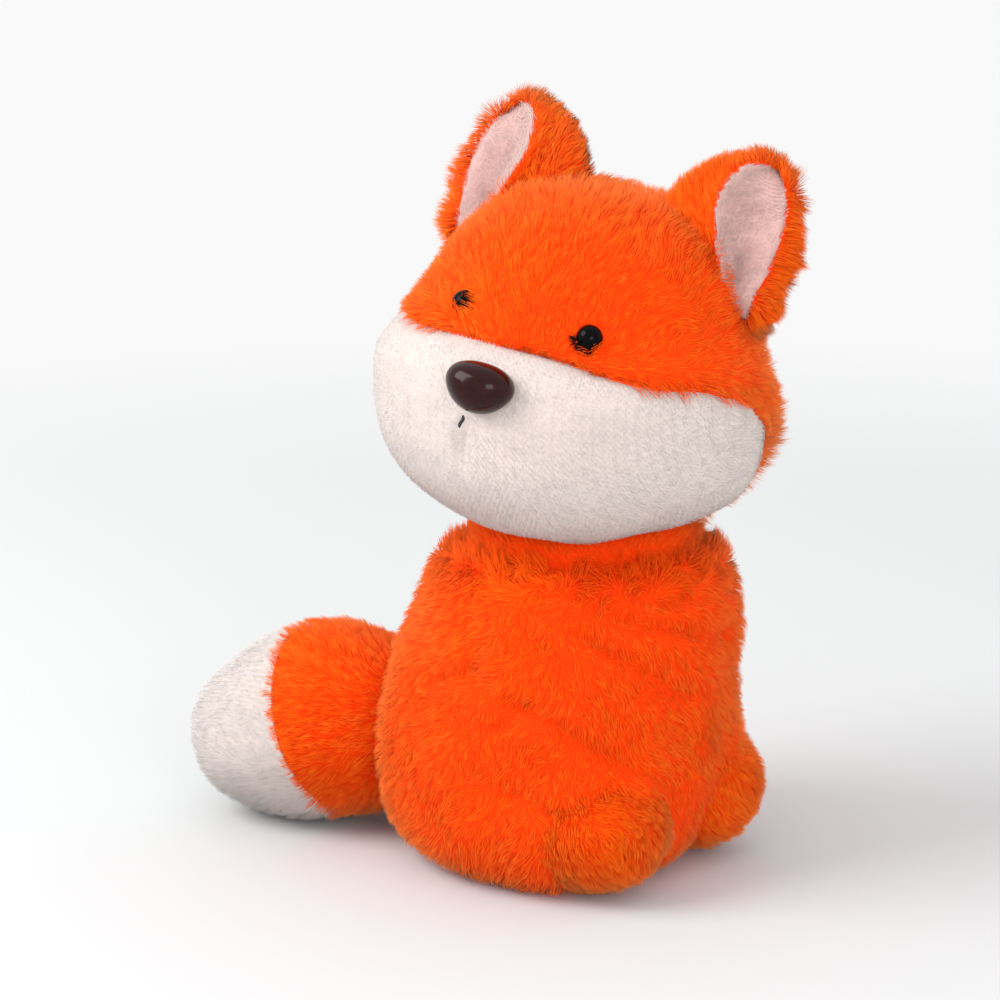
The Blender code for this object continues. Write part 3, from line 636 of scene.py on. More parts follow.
def body_flow(p):
    """The pile hangs down, fans out from under the chin, swirls on the belly and is tousled at the neck."""
    fan = p - FAN_MIDDLE
    near = bell(length(fan)[:, None], 0.055)
    down = np.array([0.0, 0.0, -1.0])
    hanging = down + 1.2 * near * unit(fan) + 1.1 * wander(p, 0.032, 5)
    top = ease(0.084, 0.098, p[:, 2:])
    return hanging * (1 - top) + top * (1.6 * wander(p, 0.011, 71) - 0.5 * down)


# A paw, along -Y from its middle: station, middle across, rise, half width and half height. Each is
# 4 mm fuller than the solid on its inner side.
PAW_SIDE, PAW_FORWARD, PAW_MIDDLE = 23.0, 26.5, 21.5
PAW_HALF_LENGTH, PAW_HALF_WIDTH, PAW_HALF_HEIGHT = 27.5, 23.5, 22.0
PAW_SHARES = np.array(
    [[-1.00, 0, 0, 0.70, 0.80], [0.00, 0, 0, 1.04, 1.06], [0.80, 0, 0, 0.86, 0.86], [1.03, 0, 0, 0.42, 0.44]]
)


def paw_form(side):
    sizes = (-PAW_HALF_LENGTH, 1, 1, PAW_HALF_WIDTH, PAW_HALF_HEIGHT)
    rows = PAW_SHARES * sizes + (-PAW_FORWARD, side * PAW_SIDE, PAW_MIDDLE, 0, 0)
    return Form(rows, axes="yxz", inset=DEEP_PILE)


def make_body():
    skin = Skin(on_floor(BODY_CLOTH.points(90, 140)))
    skin = Skin(on_floor(dented(skin, body_dents).points))
    nodes = ["body_skin", "body_stuffing", "pellet_bag"]
    make_piece("body_cloth", skin, "body", orange_cloth, nodes)
    paws = [paw_form(side) for side in (-1, 1)]

    def cover(p):
        """None under the paws or on the floor, and thicker at the top."""
        off_paws = (paws[0].field(p) > PILE_MARGIN) & (paws[1].field(p) > PILE_MARGIN)
        return off_paws * (p[..., 2] > PILE_MARGIN) * (1 + 0.7 * ease(0.088, 0.096, p[..., 2]))

    roots, normals = skin.scatter(BODY_HAIRS, 11, cover)
    top = ease(0.086, 0.098, roots[:, 2])
    normals = unit(normals + 1.5 * top[:, None] * unit((roots - NECK_MIDDLE) * (1, 1, 0)))
    folded = np.minimum(body_folds(roots) / CREASE_DEPTH, 1)
    between = ease(0.024, 0.010, np.abs(roots[:, 0])) * ease(0.040, 0.025, roots[:, 2]) * (roots[:, 1] < 0)
    # Longer at the top, with painted shade there as in the head's shadow; shorter and with painted shade in
    # the folds and between the paws
    long = (4.1 + 2.9 * top - 1.6 * folded - 1.4 * between) * MM
    lit = np.maximum(1 - 0.9 * folded - 0.5 * between - 0.8 * top - dull(roots, 37), 0)
    hairs = comb(roots, normals, body_flow(roots), long, stand=1.1 - 0.4 * top, seed=21, lit=lit)
    make_pile("body_pile", "body", orange_pile, hairs, 31)


def make_paws():
    for side, word in ((-1, "right"), (1, "left")):
        skin = Skin(on_floor(paw_form(side).points(50, 80)))
        nodes = [f"front_paw_{word}", f"paw_stuffing_{word}"]
        make_piece(f"front_paw_cloth_{word}", skin, "body", orange_cloth, nodes)

        def cover(p):
            return (BODY_CLOTH.field(p) > -PILE_MARGIN) & (p[..., 2] > PILE_MARGIN)

        roots, normals = skin.scatter(PAW_HAIRS, 41 + side, cover)
        flow = 0.5 * wander(roots, 0.025, 6) + (0.15 * side, -0.75, -0.55)
        hairs = comb(roots, normals, flow, 4.1 * MM, loose=0.7, seed=23 + side)
        make_pile(f"front_paw_pile_{word}", "body", orange_pile, hairs, 33 + side)


# The neck: a stuffed collar round the plug on which the head turns, and where it is seen
NECK_LOW, NECK_HIGH = 96 * MM, 109 * MM
NECK_ROWS = ((89, 0, -10.6, 22, 22), (93, 0, -10.6, 33, 33), (107, 0, -10.6, 33, 33), (112, 0, -10.6, 22, 22))


def make_neck():
    skin = Skin(Form(NECK_ROWS).points(30, 90))
    make_piece("neck_cloth", skin, "neck", orange_cloth, ["neck_stuffing"])
    roots, normals = skin.scatter(NECK_HAIRS, 17, lambda p: (p[..., 2] > NECK_LOW) & (p[..., 2] < NECK_HIGH))
    flow = 0.6 * wander(roots, 0.02, 4) + (0, 0, 1)
    # The collar's pile is painted with shade all over, as it lies under the head
    hairs = comb(roots, normals, flow, 4.0 * MM, stand=1.4, seed=19, lit=0.3)
    make_pile("neck_pile", "neck", orange_pile, hairs, 29)


# The head in its own axes: height, middle across, middle back, half width and half depth
HEAD_HALF_WIDTH, HEAD_HALF_DEPTH, HEAD_HALF_HEIGHT = 54.0, 55.0, 49.5
HEAD_SHARES = (
    (-1.00, 0, 0, 0.42, 0.42),
    (-0.78, 0, 0, 0.80, 0.80),
    (-0.30, 0, 0, 1.14, 1.08),
    (0.20, 0, 0, 0.98, 0.95),
    (0.62, 0, 0, 0.81, 0.82),
    (0.84, 0, 0, 0.64, 0.64),
    (1.00, 0, 0, 0.36, 0.36),
)
HEAD_ROWS = np.array(HEAD_SHARES) * (HEAD_HALF_HEIGHT, 1, 1, HEAD_HALF_WIDTH, HEAD_HALF_DEPTH)
HEAD_CLOTH = Form(HEAD_ROWS, inset=DEEP_PILE)

# The muzzle, from the fox's right to its left: side, shift forward, rise, half depth and half height
MUZZLE_HALF = (
    (0.40, 0.00, 0.00, 1.00, 1.00),
    (0.84, -0.26, 0.17, 0.74, 0.71),
    (1.03, -0.38, 0.13, 0.38, 0.36),
)
MUZZLE_FORWARD, MUZZLE_DROP, MUZZLE_SQUARENESS = 22.5, 18.0, 3.4
MUZZLE_SHARES = np.array([(-row[0], *row[1:]) for row in reversed(MUZZLE_HALF)] + list(MUZZLE_HALF))
MUZZLE_ROWS = MUZZLE_SHARES * (56.0, -43.0, 32.0, 43.0, 32.0) - (0, MUZZLE_FORWARD, MUZZLE_DROP, 0, 0)
MUZZLE_CLOTH = Form(MUZZLE_ROWS, axes="xyz", squareness=MUZZLE_SQUARENESS, inset=SHORT_PILE)

NOSE_PLACE = np.array([0, -0.0625, 0.0020])
STITCH_PLACE = np.array([-0.0040, -0.0640, -0.0092])
EYE_PLACE = np.array([0.0203, -0.0436, 0.0186])
EYE_RADIUS = 0.0037
# How far each bead is drawn into the pile by its washer
EYE_SUNK = {"left": 0.9 * MM, "right": 1.3 * MM}
LASH_HAIR = 0.075 * MM
# The lap of the orange cheek: its middle and spread sideways, its height and spread upwards, its depth
LAP_MIDDLE, LAP_SPREAD, LAP_HEIGHT, LAP_RISE, LAP_DEPTH = 33 * MM, 12 * MM, 8 * MM, 8 * MM, 4.2 * MM


def eye_place(side):
    return EYE_PLACE * (side, 1, 1)


def from_eye(p, side):
    return length(p - eye_place(side))


def face_flow(p):
    """The pile is combed away from the nose, over the brow and round the cheeks."""
    return p - (0, -0.062, -0.010)


# The cheeks are stuffed fuller than the cage: place, reach and how far each swells
MUZZLE_SWELLS = (((-0.049, -0.048, 0.000), 0.013, 2.4 * MM), ((0.051, -0.002, -0.036), 0.018, 3.6 * MM))


def muzzle_dents(points):
    total = 0.4 * MM * drift(points, 0.028, 12)
    for place, reach, swell in MUZZLE_SWELLS:
        total = total - swell * bell(length(points - place), reach)
    total = total + crease(points, (NOSE_PLACE, NOSE_PLACE - (0, 0, 0.001)), 0.010, 1.2 * MM)
    # A fold runs down from the stitch
    fold = (STITCH_PLACE, STITCH_PLACE + (-0.001, 0.002, -0.010), STITCH_PLACE + (0, 0.008, -0.020))
    return total + crease(points, fold, 2.4 * MM, 1.9 * MM)


def lap(p):
    """How far the orange cheek swells over the white under each eye: d exp(-a^2 - r^2)."""
    aside = (np.abs(p[..., 0]) - LAP_MIDDLE) / LAP_SPREAD
    rise = (p[..., 2] - LAP_HEIGHT) / LAP_RISE
    return LAP_DEPTH * np.exp(-(aside**2) - rise**2) * (p[..., 1] < 0)


def make_head():
    local = Skin(HEAD_CLOTH.points(80, 120))
    local = dented(local, lambda p: 0.6 * MM * drift(p, 0.030, 9) - lap(p))
    make_piece("head_cloth", seated(local, HEAD), "head", orange_cloth, ["head_skin", "head_stuffing"])

    def cover(p):
        """None under the white, and thicker round the far eye and on the back of the cheek."""
        edge = MUZZLE_CLOTH.field(p)
        cheek = ease(0.014, 0.004, edge) * ease(-0.022, 0.0, p[..., 1]) * ease(0.004, -0.004, p[..., 2])
        return (edge > 0.2 * MM) * (1 + 3 * bell(from_eye(p, -1), 0.0065) + 1.8 * cheek)

    roots, normals = local.scatter(HEAD_HAIRS, 12, cover)
    clear = (from_eye(roots, 1) > EYE_RADIUS * 0.95) & (from_eye(roots, -1) > EYE_RADIUS)
    roots, normals = roots[clear], normals[clear]
    edge = MUZZLE_CLOTH.field(roots)
    brow = ease(0.0, 0.022, edge)
    back = ease(-0.035, 0.02, roots[:, 1])
    crown = ease(0.030, 0.045, roots[:, 2])
    cheek = ease(0.016, 0.004, edge) * ease(-0.022, 0.0, roots[:, 1]) * ease(0.006, -0.004, roots[:, 2])
    # The pile stands round the near bead and leans over the far one from the bridge of the nose
    by_near = bell(np.maximum(from_eye(roots, 1) - EYE_RADIUS, 0), 0.0020)
    by_far = bell(np.maximum(from_eye(roots, -1) - EYE_RADIUS, 0), 0.0028)
    bridge = by_far * ease(-0.0025, 0.0010, roots[:, 0] - eye_place(-1)[0])
    flow = unit(face_flow(roots)) + 0.6 * wander(roots, 0.026, 7)
    flow = flow * (1 - bridge[:, None]) + 2.0 * bridge[:, None] * unit(eye_place(-1) - roots)
    # Above the cheeks the pile hangs over the edge of the white
    aside = ease(0.004, 0.022, np.abs(roots[:, 0]))
    hang = ease(0.007, 0.001, edge) * aside * ease(-0.006, 0.002, roots[:, 2])
    flow = flow + 1.8 * hang[:, None] * (0, 0.1, -1)
    low = ease(-0.004, -0.020, roots[:, 2])
    long = (3.1 + 0.8 * brow + 0.7 * back + 1.4 * crown + (1.6 + 4.4 * low) * cheek + 2.4 * hang) * MM
    long = long + (1.2 * by_near + 0.2 * by_far + bridge) * MM
    stand = 1.0 + 0.5 * cheek + 0.8 * by_near + 0.8 * by_far - 0.4 * hang
    # The pile round both beads has painted shade
    lit = 1 - dull(roots, 38) - 0.4 * np.maximum(by_near, by_far)
    hairs = comb(roots, normals, flow, long, stand=stand, loose=0.7, seed=22, lit=lit)
    make_pile("head_pile", "head", orange_pile, hairs.seated(HEAD), 32)


# Beyond this far sideways, orange pile covers the muzzle above a line that falls towards the back
CORNER_SIDE, CORNER_RISE, CORNER_FALL = 44 * MM, -4.0 * MM, 0.71


def lapped(p):
    """Where orange pile lies over the white: the muzzle's upper back ends, and a lap under each eye."""
    corner = (np.abs(p[..., 0]) > CORNER_SIDE) & (p[..., 2] > CORNER_RISE - CORNER_FALL * p[..., 1])
    return corner | ((HEAD_CLOTH.field(p) < lap(p)) & (p[..., 2] > 3 * MM))


def make_muzzle():
    local = dented(Skin(MUZZLE_CLOTH.points(96, 130)), muzzle_dents)
    make_piece("muzzle_cloth", seated(local, HEAD), "head", white_cloth, ["muzzle_panel"])

    def white(p):
        return (HEAD_CLOTH.field(p) > 0.4 * MM) & ~lapped(p)

    def orange(p):
        return lapped(p) & (HEAD_CLOTH.field(p) > lap(p) - 2.0 * MM)

    roots, normals = local.scatter(MUZZLE_HAIRS, 13, white)
    flow = unit(face_flow(roots)) + 0.5 * wander(roots, 0.020, 17)
    hairs = comb(roots, normals, flow, 1.4 * MM, stand=0.6, loose=0.4, seed=24, **VELVET)
    make_pile("muzzle_pile", "head", white_pile, hairs.seated(HEAD), 34, VELVET_SOFTNESS)
    roots, normals = local.scatter(CHEEK_HAIRS, 45, orange)
    # Nearer the face, the pile of the corner is combed forwards
    ahead = ease(0.052, 0.046, np.abs(roots[:, :1]))
    flow = np.array([0.0, 0.6, -1.0]) + ahead * (0, -1.4, 0.4) + 0.3 * wander(roots, 0.010, 46)
    hairs = comb(roots, normals, flow, 3.6 * MM, stand=0.9, loose=0.6, seed=47)
    make_pile("cheek_pile", "head", orange_pile, hairs.seated(HEAD), 48)


# The tail along its own +Y: station, middle across, rise of the middle and two half sizes
TAIL_ROWS = (
    (-24.0, 0, 0.0, 11.0, 11.0),
    (-12.5, 0, 0.0, 22.1, 22.1),
    (12.3, 0, 0.0, 29.3, 29.3),
    (34.3, 0, 0.0, 33.4, 33.4),
    (58.9, 0, -5.0, 23.5, 23.5),
    (69.9, 0, -6.3, 10.2, 10.2),
)
SEAM_PLACE = np.array([0, 0.0255, 0])
SEAM_WAY = turn_about("Z", -16) @ turn_about("X", -20) @ (0, 1, 0)


def beyond_seam(p):
    return (p - SEAM_PLACE) @ SEAM_WAY


def tail_skin(inset):
    points = Form(TAIL_ROWS, axes="yxz", inset=inset).points(80, 110)
    points[..., 2] = np.maximum(points[..., 2], FLOOR_CLEARANCE - TAIL.place[2])
    return dented(Skin(points), lambda p: 0.6 * MM * drift(p, 0.028, 15))


def make_tail():
    whole, tip = tail_skin(DEEP_PILE), tail_skin(MIDDLE_PILE)
    sleeve = seated(Skin(flattened(whole.points, SEAM_PLACE, SEAM_WAY)), TAIL)
    end = seated(Skin(flattened(tip.points, SEAM_PLACE, -SEAM_WAY)), TAIL)
    make_piece("tail_sleeve_cloth", sleeve, "tail", orange_cloth, ["tail_sleeve", "tail_stuffing"])
    make_piece("tail_tip_cloth", end, "tail", white_cloth, ["tail_tip"])

    def on_sleeve(p):
        return (beyond_seam(p) < 0) & (BODY_CLOTH.field(TAIL.points(p)) > -PILE_MARGIN)

    def flow(p):
        return 0.45 * wander(p, 0.030, 8) + (0, 1, 0)

    roots, normals = whole.scatter(SLEEVE_HAIRS, 14, on_sleeve)
    lit = 1 - dull(roots, 39)
    hairs = comb(roots, normals, flow(roots), 4.6 * MM, loose=0.6, seed=25, lit=lit)
    make_pile("tail_sleeve_pile", "tail", orange_pile, hairs.seated(TAIL), 35)
    roots, normals = tip.scatter(TIP_HAIRS, 15, lambda p: beyond_seam(p) > 0)
    hairs = comb(roots, normals, flow(roots), 2.7 * MM, pull=0.35, loose=0.6, seed=26)
    make_pile("tail_tip_pile", "tail", white_pile, hairs.seated(TAIL), 36)


# The ears: the ends of a base line on the head and the tip, in the head's axes; how far they run into
# the head; half their width and half their thickness
EAR_INNER, EAR_OUTER, EAR_TIP = (14.0, 12.0, 49.0), (51.0, 7.0, 24.0), (43.0, 23.0, 62.0)
EAR_DROP, EAR_HALF_WIDTH, EAR_HALF_DEPTH = 12.0, 23.0, 11.0
EAR_SHARES = np.array(
    [[0, 0, 0, 0.96, 0.90], [0.42, 0.42, 0, 1.02, 1.04]]
    + [[0.84, 0.84, 0, 0.70, 0.92], [1.02, 1.02, 0, 0.28, 0.46]]
)
# The lining's outline in millimetres: share of the ear's height, inner edge and outer edge, outwards
LINING_SHARES = (0.02, 0.10, 0.20, 0.28, 0.36, 0.44, 0.52, 0.60, 0.68, 0.76, 0.82, 0.87, 0.91, 0.94)
LINING_INNER = (14.0, 11.0, 8.0, 3.0, -1.0, -4.8, -7.0, -8.2, -8.6, -8.2, -7.2, -5.6, -3.4, -0.6)
LINING_OUTER = (17.0, 21.0, 21.5, 20.5, 19.4, 18.4, 17.4, 16.0, 14.2, 12.0, 9.8, 7.4, 4.4, 1.2)
CUP_DEPTH, LIP_HEIGHT, LOW_SWELL = 4.8 * MM, 1.9 * MM, 5.5 * MM


class Ear:
    """An ear's own axes (X along its base, -Y out of its face, Z up it), its form and its lining."""

    def __init__(self, side):
        flip = np.array([side, 1, 1]) * MM
        inner, outer, tip = (np.array(place) * flip for place in (EAR_INNER, EAR_OUTER, EAR_TIP))
        base = (inner + outer) / 2
        along = unit(side * (outer - inner))
        reach = tip - base
        self.lean = reach @ along
        up = reach - along * self.lean
        self.height = length(up)
        up = unit(up)
        self.side = side
        self.seat = Seat(HEAD.turn @ np.stack([along, np.cross(up, along), up], axis=1), HEAD.points(base))
        whole = self.height / MM + EAR_DROP
        sizes = (whole, self.lean / MM, 1, EAR_HALF_WIDTH, EAR_HALF_DEPTH)
        rows = EAR_SHARES * sizes - (EAR_DROP, 0, 0, 0, 0)
        self.form = Form(rows, inset=DEEP_PILE)

    def share(self, p):
        """From 0 at the bottom of the ear to 1 at its tip."""
        return np.clip((p[..., 2] + EAR_DROP * MM) / (self.height + EAR_DROP * MM), 0, 1)

    def from_lining(self, p):
        """0 on the lining's middle line and 1 at its edge, on the side of the face."""
        t = self.share(p)
        inner, outer = (np.interp(t, LINING_SHARES, edge) * MM for edge in (LINING_INNER, LINING_OUTER))
        outwards = self.side * (p[..., 0] - self.lean * t)
        beside = np.abs(outwards - (inner + outer) / 2) / ((outer - inner) / 2)
        beyond = (t < LINING_SHARES[0]) | (t > LINING_SHARES[-1]) | (p[..., 1] > 0)
        return np.where(beyond, np.maximum(beside, 3.0), beside)

    def rim(self, p):
        """1 along the outer rim and the top, 0 on the flat of the ear and at its inner end."""
        t = self.share(p)
        return ease(9 * MM, 17 * MM, self.side * (p[..., 0] - self.lean * t)) + ease(0.80, 0.95, t)

    def cup(self, p):
        """The lining lies in a hollow with a soft lip: c (1 - q^2)^2 - l exp(-((q - .95) / .22)^2)."""
        q = self.from_lining(p)
        hollow = CUP_DEPTH * np.clip(1 - q**2, 0, 1) ** 2 * ease(0.97, 0.60, self.share(p))
        low = ease(0.45, 0.15, self.share(p)) * ease(8 * MM, 15 * MM, self.side * p[..., 0])
        return hollow - LIP_HEIGHT * bell(q - 0.95, 0.22) - LOW_SWELL * low


def make_ear(side, word):
    ear = Ear(side)
    local = dented(Skin(ear.form.points(66, 96)), ear.cup)
    on, node = f"ear_on_{word}", f"ear_{word}"
    make_piece(f"ear_cloth_{word}", seated(local, ear.seat), on, orange_cloth, [node])
    proud = np.where(ear.from_lining(local.points) < 1, 0.4, -1.2)[..., None] * MM
    sunk = Skin(local.points + local.normals * proud)
    lining = f"ear_lining_{word}"
    make_piece(f"ear_lining_cloth_{word}", seated(sunk, ear.seat), on, lining_cloth, [lining])

    def off_head(p):
        return HEAD_CLOTH.field(HEAD.within(ear.seat.points(p))) > -PILE_MARGIN

    def orange(p):
        return (ear.from_lining(p) > 0.97) * off_head(p) * (1 + 1.4 * ear.rim(p))

    def pale(p):
        return (ear.from_lining(p) < 1.0) & off_head(p)

    roots, normals = local.scatter(EAR_HAIRS, 16 + side, orange)
    rim = np.minimum(ear.rim(roots), 1)
    flow = unit(roots * (1, 0.6, 0)) + (0, 0, 0.55) + 0.3 * wander(roots, 0.02, 18)
    long = (4.3 + 2.0 * rim) * MM
    hairs = comb(roots, normals, flow, long, stand=0.9 + 0.5 * rim, pull=0.35, loose=0.5, seed=27 + side)
    # The pile shades as if it faced forwards or back, and up
    outwards = np.where(roots[:, 1:2] < 0, -1, 1)
    hairs.normals = unit(hairs.normals + outwards * (0, 0.6, 0) + (0, 0, 0.8))
    make_pile(f"ear_pile_{word}", on, orange_pile, hairs.seated(ear.seat), 37 + side)
    roots, normals = local.scatter(LINING_HAIRS, 18 + side, pale)
    flow = 0.6 * wander(roots, 0.012, 19) + (0, 0, 1)
    # Towards the middle of its hollow the lining is pinker and darker: partly its own pink, partly painted
    # shade in the cup
    lit = 0.1 + 0.9 * ease(0.45, 1.0, ear.from_lining(roots))
    hairs = comb(roots, normals, flow, 1.5 * MM, seed=29 + side, lit=lit, **VELVET).seated(ear.seat)
    make_pile(f"ear_lining_pile_{word}", on, lining_pile, hairs, 39 + side, VELVET_SOFTNESS)


def ball(radius):
    """r (sin v cos u, sin v sin u, cos v)"""
    v = np.linspace(0, np.pi, 40)[:, None]
    u = round_steps(60)
    return radius * np.stack([np.sin(v) * np.cos(u), np.sin(v) * np.sin(u), np.cos(v) + 0 * u], axis=-1)


def make_eyes():
    bead = Paint("bead_black", Base_Color=(0.001, 0.001, 0.001), Specular_IOR_Level=0.07)
    bead.set("Roughness", bead.grain(300) * 0.12 + 0.04)
    dark = Paint("lash_black", Roughness=0.8, Specular_IOR_Level=0.08)
    dark.set("Base Color", dark.mix(dark.grain(900), (0.002, 0.001, 0.001), (0.012, 0.004, 0.003)))
    for side, word in ((-1, "right"), (1, "left")):
        place = eye_place(side)
        out = unit(place / np.array([HEAD_HALF_WIDTH, HEAD_HALF_DEPTH, HEAD_HALF_HEIGHT]) ** 2)
        skin = Skin(HEAD.points(place - out * EYE_SUNK[word] + ball(EYE_RADIUS)))
        make_piece(f"eye_bead_{word}", skin, "head", bead.material, [f"eye_{word}"])
    # Dark ends of pile stand round the lower front edge of the near bead, which the loop made last
    rng = np.random.default_rng(51)
    first = unit(np.cross(out, (0, 0, 1.0)))
    angle = rng.uniform(0.05, 0.6 * np.pi, LASHES)[:, None]
    spoke = first * np.cos(angle) + np.cross(out, first) * np.sin(angle)
    roots = place + spoke * EYE_RADIUS * rng.uniform(0.75, 1.2, LASHES)[:, None] - out * 0.6 * MM
    normals = unit(spoke * 0.4 + out)
    hairs = comb(roots, normals, spoke, 1.9 * MM, tuft=0.9 * MM, pull=0.15, seed=52, radius=LASH_HAIR)
    make_pile("eye_lash_left", "head", dark.material, hairs.seated(HEAD), 62)


def axes_towards(way):
    z = unit(np.array(way))
    x = unit(np.cross((0, 0, 1.0), z))
    return np.stack([x, np.cross(z, x), z], axis=1)


NOSE_HALF_WIDTH, NOSE_HALF_HEIGHT, NOSE_DEPTH = 9.8 * MM, 7.2 * MM, 8.6 * MM
NOSE_TILT = math.radians(20)
NOSE_SHIFT = (-1.6 * MM, -0.8 * MM, 0.6 * MM)


def make_nose():
    """A moulded button: a domed rounded triangle, blunt at its rim.

    x = a e(u) sin^p(v) cos u, y = b e(u) sin^p(v) sin u, z = c cos v, with e = 1 - .05 sin 3u.
    """
    moulded = Paint("nose_brown", Specular_IOR_Level=0.18)
    cloudy = moulded.grain(260, 3.0)
    moulded.set("Base Color", moulded.mix(cloudy, (0.008, 0.0010, 0.0008), (0.034, 0.005, 0.004)))
    moulded.set("Roughness", cloudy * 0.20 + 0.06)
    moulded.bump(moulded.grain(900), 0.06, 0.0002)
    v = np.linspace(0, 0.72 * np.pi, 60)[:, None]
    u = round_steps(100)
    egg = 1 + 0.05 * np.sin(3 * u)
    across = np.abs(np.sin(v)) ** 0.86
    x = NOSE_HALF_WIDTH * egg * across * np.cos(u)
    y = NOSE_HALF_HEIGHT * egg * across * np.sin(u)
    made = np.stack([x, y, NOSE_DEPTH * np.cos(v) + 0 * u], axis=-1)
    made[-1] = made[-1].mean(axis=0)
    turn = axes_towards((0, -math.cos(NOSE_TILT), math.sin(NOSE_TILT)))
    skin = Skin(HEAD.points(made @ turn.T + NOSE_PLACE + NOSE_SHIFT))
    make_piece("nose_button", skin, "head", moulded.material, ["nose"])


STITCH_HALF_LENGTH, STITCH_FAT, STITCH_BEND = 1.9 * MM, 0.55 * MM, 0.3 * MM
STITCH_SHIFT = (-0.6 * MM, -1.2 * MM, 1.2 * MM)


def make_stitch():
    """A bent thread: x = f sin^.4(pi v) cos u + b sin 6v, y = f sin^.4(pi v) sin u, z = h (1 - 2v)."""
    thread = Paint("stitch_black", Roughness=0.7)
    thread.set("Base Color", thread.mix(thread.grain(2500), (0.004, 0.004, 0.004), (0.03, 0.025, 0.025)))
    v = np.linspace(0, 1, 24)[:, None]
    u = round_steps(12)
    fat = STITCH_FAT * np.abs(np.sin(np.pi * v)) ** 0.4
    across = fat * np.cos(u) + STITCH_BEND * np.sin(6 * v)
    made = np.stack([across, fat * np.sin(u), STITCH_HALF_LENGTH * (1 - 2 * v) + 0 * u], axis=-1)
    skin = Skin(HEAD.points(made @ turn_about("X", -12).T + STITCH_PLACE + STITCH_SHIFT))
    make_piece("mouth_thread", skin, "head", thread.material, ["mouth_stitch"])


BASE_RADIUS, BASE_LOW, BASE_THICK = 31 * MM, 0.3 * MM, 4.0 * MM


def make_base():
    """A round panel: x = r sin^.25(pi v) cos u, y = r sin^.25(pi v) sin u, z = low + t (1 - v)."""
    v = np.linspace(0, 1, 20)[:, None]
    u = round_steps(80)
    radius = BASE_RADIUS * np.abs(np.sin(np.pi * v)) ** 0.25
    height = BASE_LOW + BASE_THICK * (1 - v) + 0 * u
    made = np.stack([radius * np.cos(u), radius * np.sin(u), height], axis=-1)
    made[0], made[-1] = made[0].mean(axis=0), made[-1].mean(axis=0)
    make_piece("base_cloth", Skin(made), "body", orange_cloth, ["base_panel"])


def dress_washers():
    clear = Paint("washer_clear", Roughness=0.35)
    clear.set("Base Color", clear.mix(clear.grain(500), (0.70, 0.72, 0.74), (0.80, 0.82, 0.84)))
    for node in ("eye_washer_right", "eye_washer_left", "nose_washer"):
        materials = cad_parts[node].data.materials
        materials.clear()
        materials.append(clear.material)


# Each light's name, place, power and size; both look at the toy's middle
LIGHTS = (("key", (-0.84, 0.60, 0.95), 14.0, 0.8), ("fill", (-0.75, -1.10, 0.40), 6.0, 0.6))
LIT_PLACE = Vector((0, 0, 0.10))


def add_light(name, place, power, size):
    data = bpy.data.lights.new(name, "AREA")
    data.energy, data.size = power, size
    made = add_object(name, data)
    made.location = place
    made.rotation_euler = (LIT_PLACE - Vector(place)).to_track_quat("-Z", "Y").to_euler()


# How bright the white round the toy is as it lights it, and as the camera sees it
WHITE_GIVEN, WHITE_SEEN = 1.08, 0.947
FADE_NEAR, FADE_FAR = 0.38, 0.75


def make_world():
    """White for what the camera sees directly, and a softer white that lights the toy."""
    world = bpy.data.worlds.new("studio")
    bpy.context.scene.world = world
    world.use_nodes = True
    nodes, links = world.node_tree.nodes, world.node_tree.links
    lighting = nodes["Background"]
    seen = nodes.new("ShaderNodeBackground")
    for white, strength in ((lighting, WHITE_GIVEN), (seen, WHITE_SEEN)):
        white.inputs["Color"].default_value = (1, 1, 1, 1)
        white.inputs["Strength"].default_value = strength
    path = nodes.new("ShaderNodeLightPath")
    swap = nodes.new("ShaderNodeMixShader")
    links.new(path.outputs["Is Camera Ray"], swap.inputs[0])
    links.new(lighting.outputs[0], swap.inputs[1])
    links.new(seen.outputs[0], swap.inputs[2])
    links.new(swap.outputs[0], nodes["World Output"].inputs["Surface"])


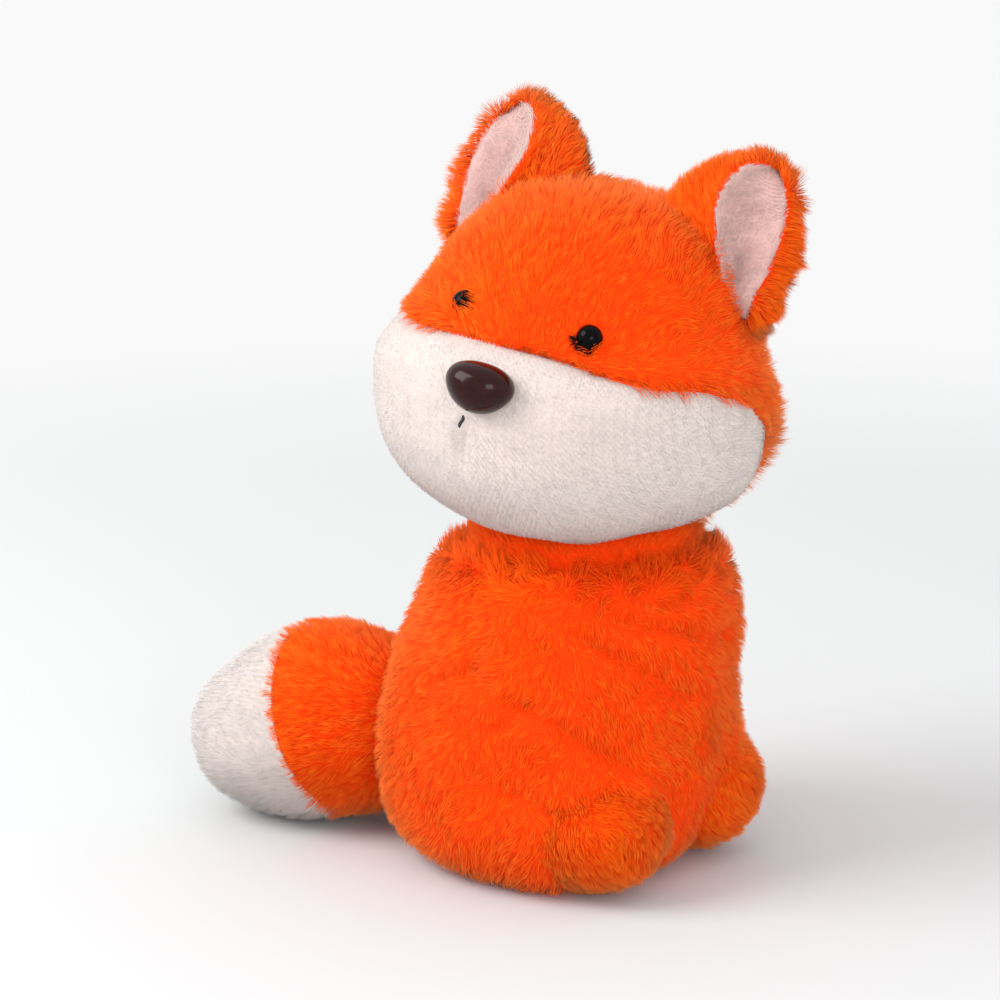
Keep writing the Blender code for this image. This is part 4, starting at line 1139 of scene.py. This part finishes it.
def make_floor():
    """Pale paper that fades into the white behind it."""
    u = np.linspace(-1, 1, 9)
    x, y = np.meshgrid(u, u)
    verts = np.stack([x, y, np.zeros_like(x)], axis=-1).reshape(-1, 3)
    at = np.arange(81).reshape(9, 9)
    quads = np.stack([at[:-1, :-1], at[:-1, 1:], at[1:, 1:], at[1:, :-1]], axis=-1).reshape(-1, 4)
    floor = new_mesh("floor", verts, [quads])
    paper = Paint("studio_paper", Roughness=0.8, Specular_IOR_Level=0.0)
    paper.set("Base Color", paper.mix(paper.grain(3, 1.0), (0.595, 0.606, 0.608), (0.605, 0.616, 0.618)))
    # The paper is left out bit by bit with the distance from the toy
    away = paper.node("ShaderNodeVectorMath", {"operation": "LENGTH"}, {0: paper.place()}, output=1)
    reach = {"Value": away, "From Min": FADE_NEAR, "From Max": FADE_FAR}
    fade = paper.node("ShaderNodeMapRange", {"interpolation_type": "SMOOTHSTEP"}, reach)
    clear = paper.node("ShaderNodeBsdfTransparent")
    solid = Socket(paper, paper.shader.outputs[0])
    mixed = paper.node("ShaderNodeMixShader", {}, {0: fade, 1: solid, 2: clear})
    paper.feed(paper.nodes["Material Output"].inputs["Surface"], mixed)
    floor.data.materials.append(paper.material)


CAMERA_AZIMUTH, CAMERA_ELEVATION = -52, 15
CAMERA_DISTANCE, CAMERA_TARGET = 1.1, Vector((0, 0, 0.11))
# Widths of the picture per metre at the target, and where the photo has the middle of the base
CAMERA_SCALE = 3.39
BASE_ACROSS, BASE_DOWN = 0.557, 0.845


def make_camera():
    a, e = math.radians(CAMERA_AZIMUTH), math.radians(CAMERA_ELEVATION)
    towards = Vector((math.sin(a) * math.cos(e), -math.cos(a) * math.cos(e), math.sin(e)))
    data = bpy.data.cameras.new("camera")
    camera = add_object("camera", data)
    camera.location = CAMERA_TARGET + towards * CAMERA_DISTANCE
    camera.rotation_euler = (-towards).to_track_quat("-Z", "Y").to_euler()
    zoom = CAMERA_SCALE * CAMERA_DISTANCE
    data.sensor_width = 36
    data.lens = data.sensor_width * zoom
    right = Vector((math.cos(a), math.sin(a), 0))
    up = right.cross(-towards)
    offset = -camera.location
    depth = offset.dot(-towards)
    data.shift_x = 0.5 + zoom * offset.dot(right) / depth - BASE_ACROSS
    data.shift_y = BASE_DOWN - (0.5 - zoom * offset.dot(up) / depth)
    bpy.context.scene.camera = camera


def main():
    make_body()
    make_paws()
    make_neck()
    make_head()
    make_muzzle()
    make_tail()
    make_ear(-1, "right")
    make_ear(1, "left")
    make_eyes()
    make_nose()
    make_stitch()
    make_base()
    dress_washers()
    make_world()
    make_floor()
    for light in LIGHTS:
        add_light(*light)
    bpy.context.scene.view_settings.view_transform = "Standard"
    make_camera()


main()
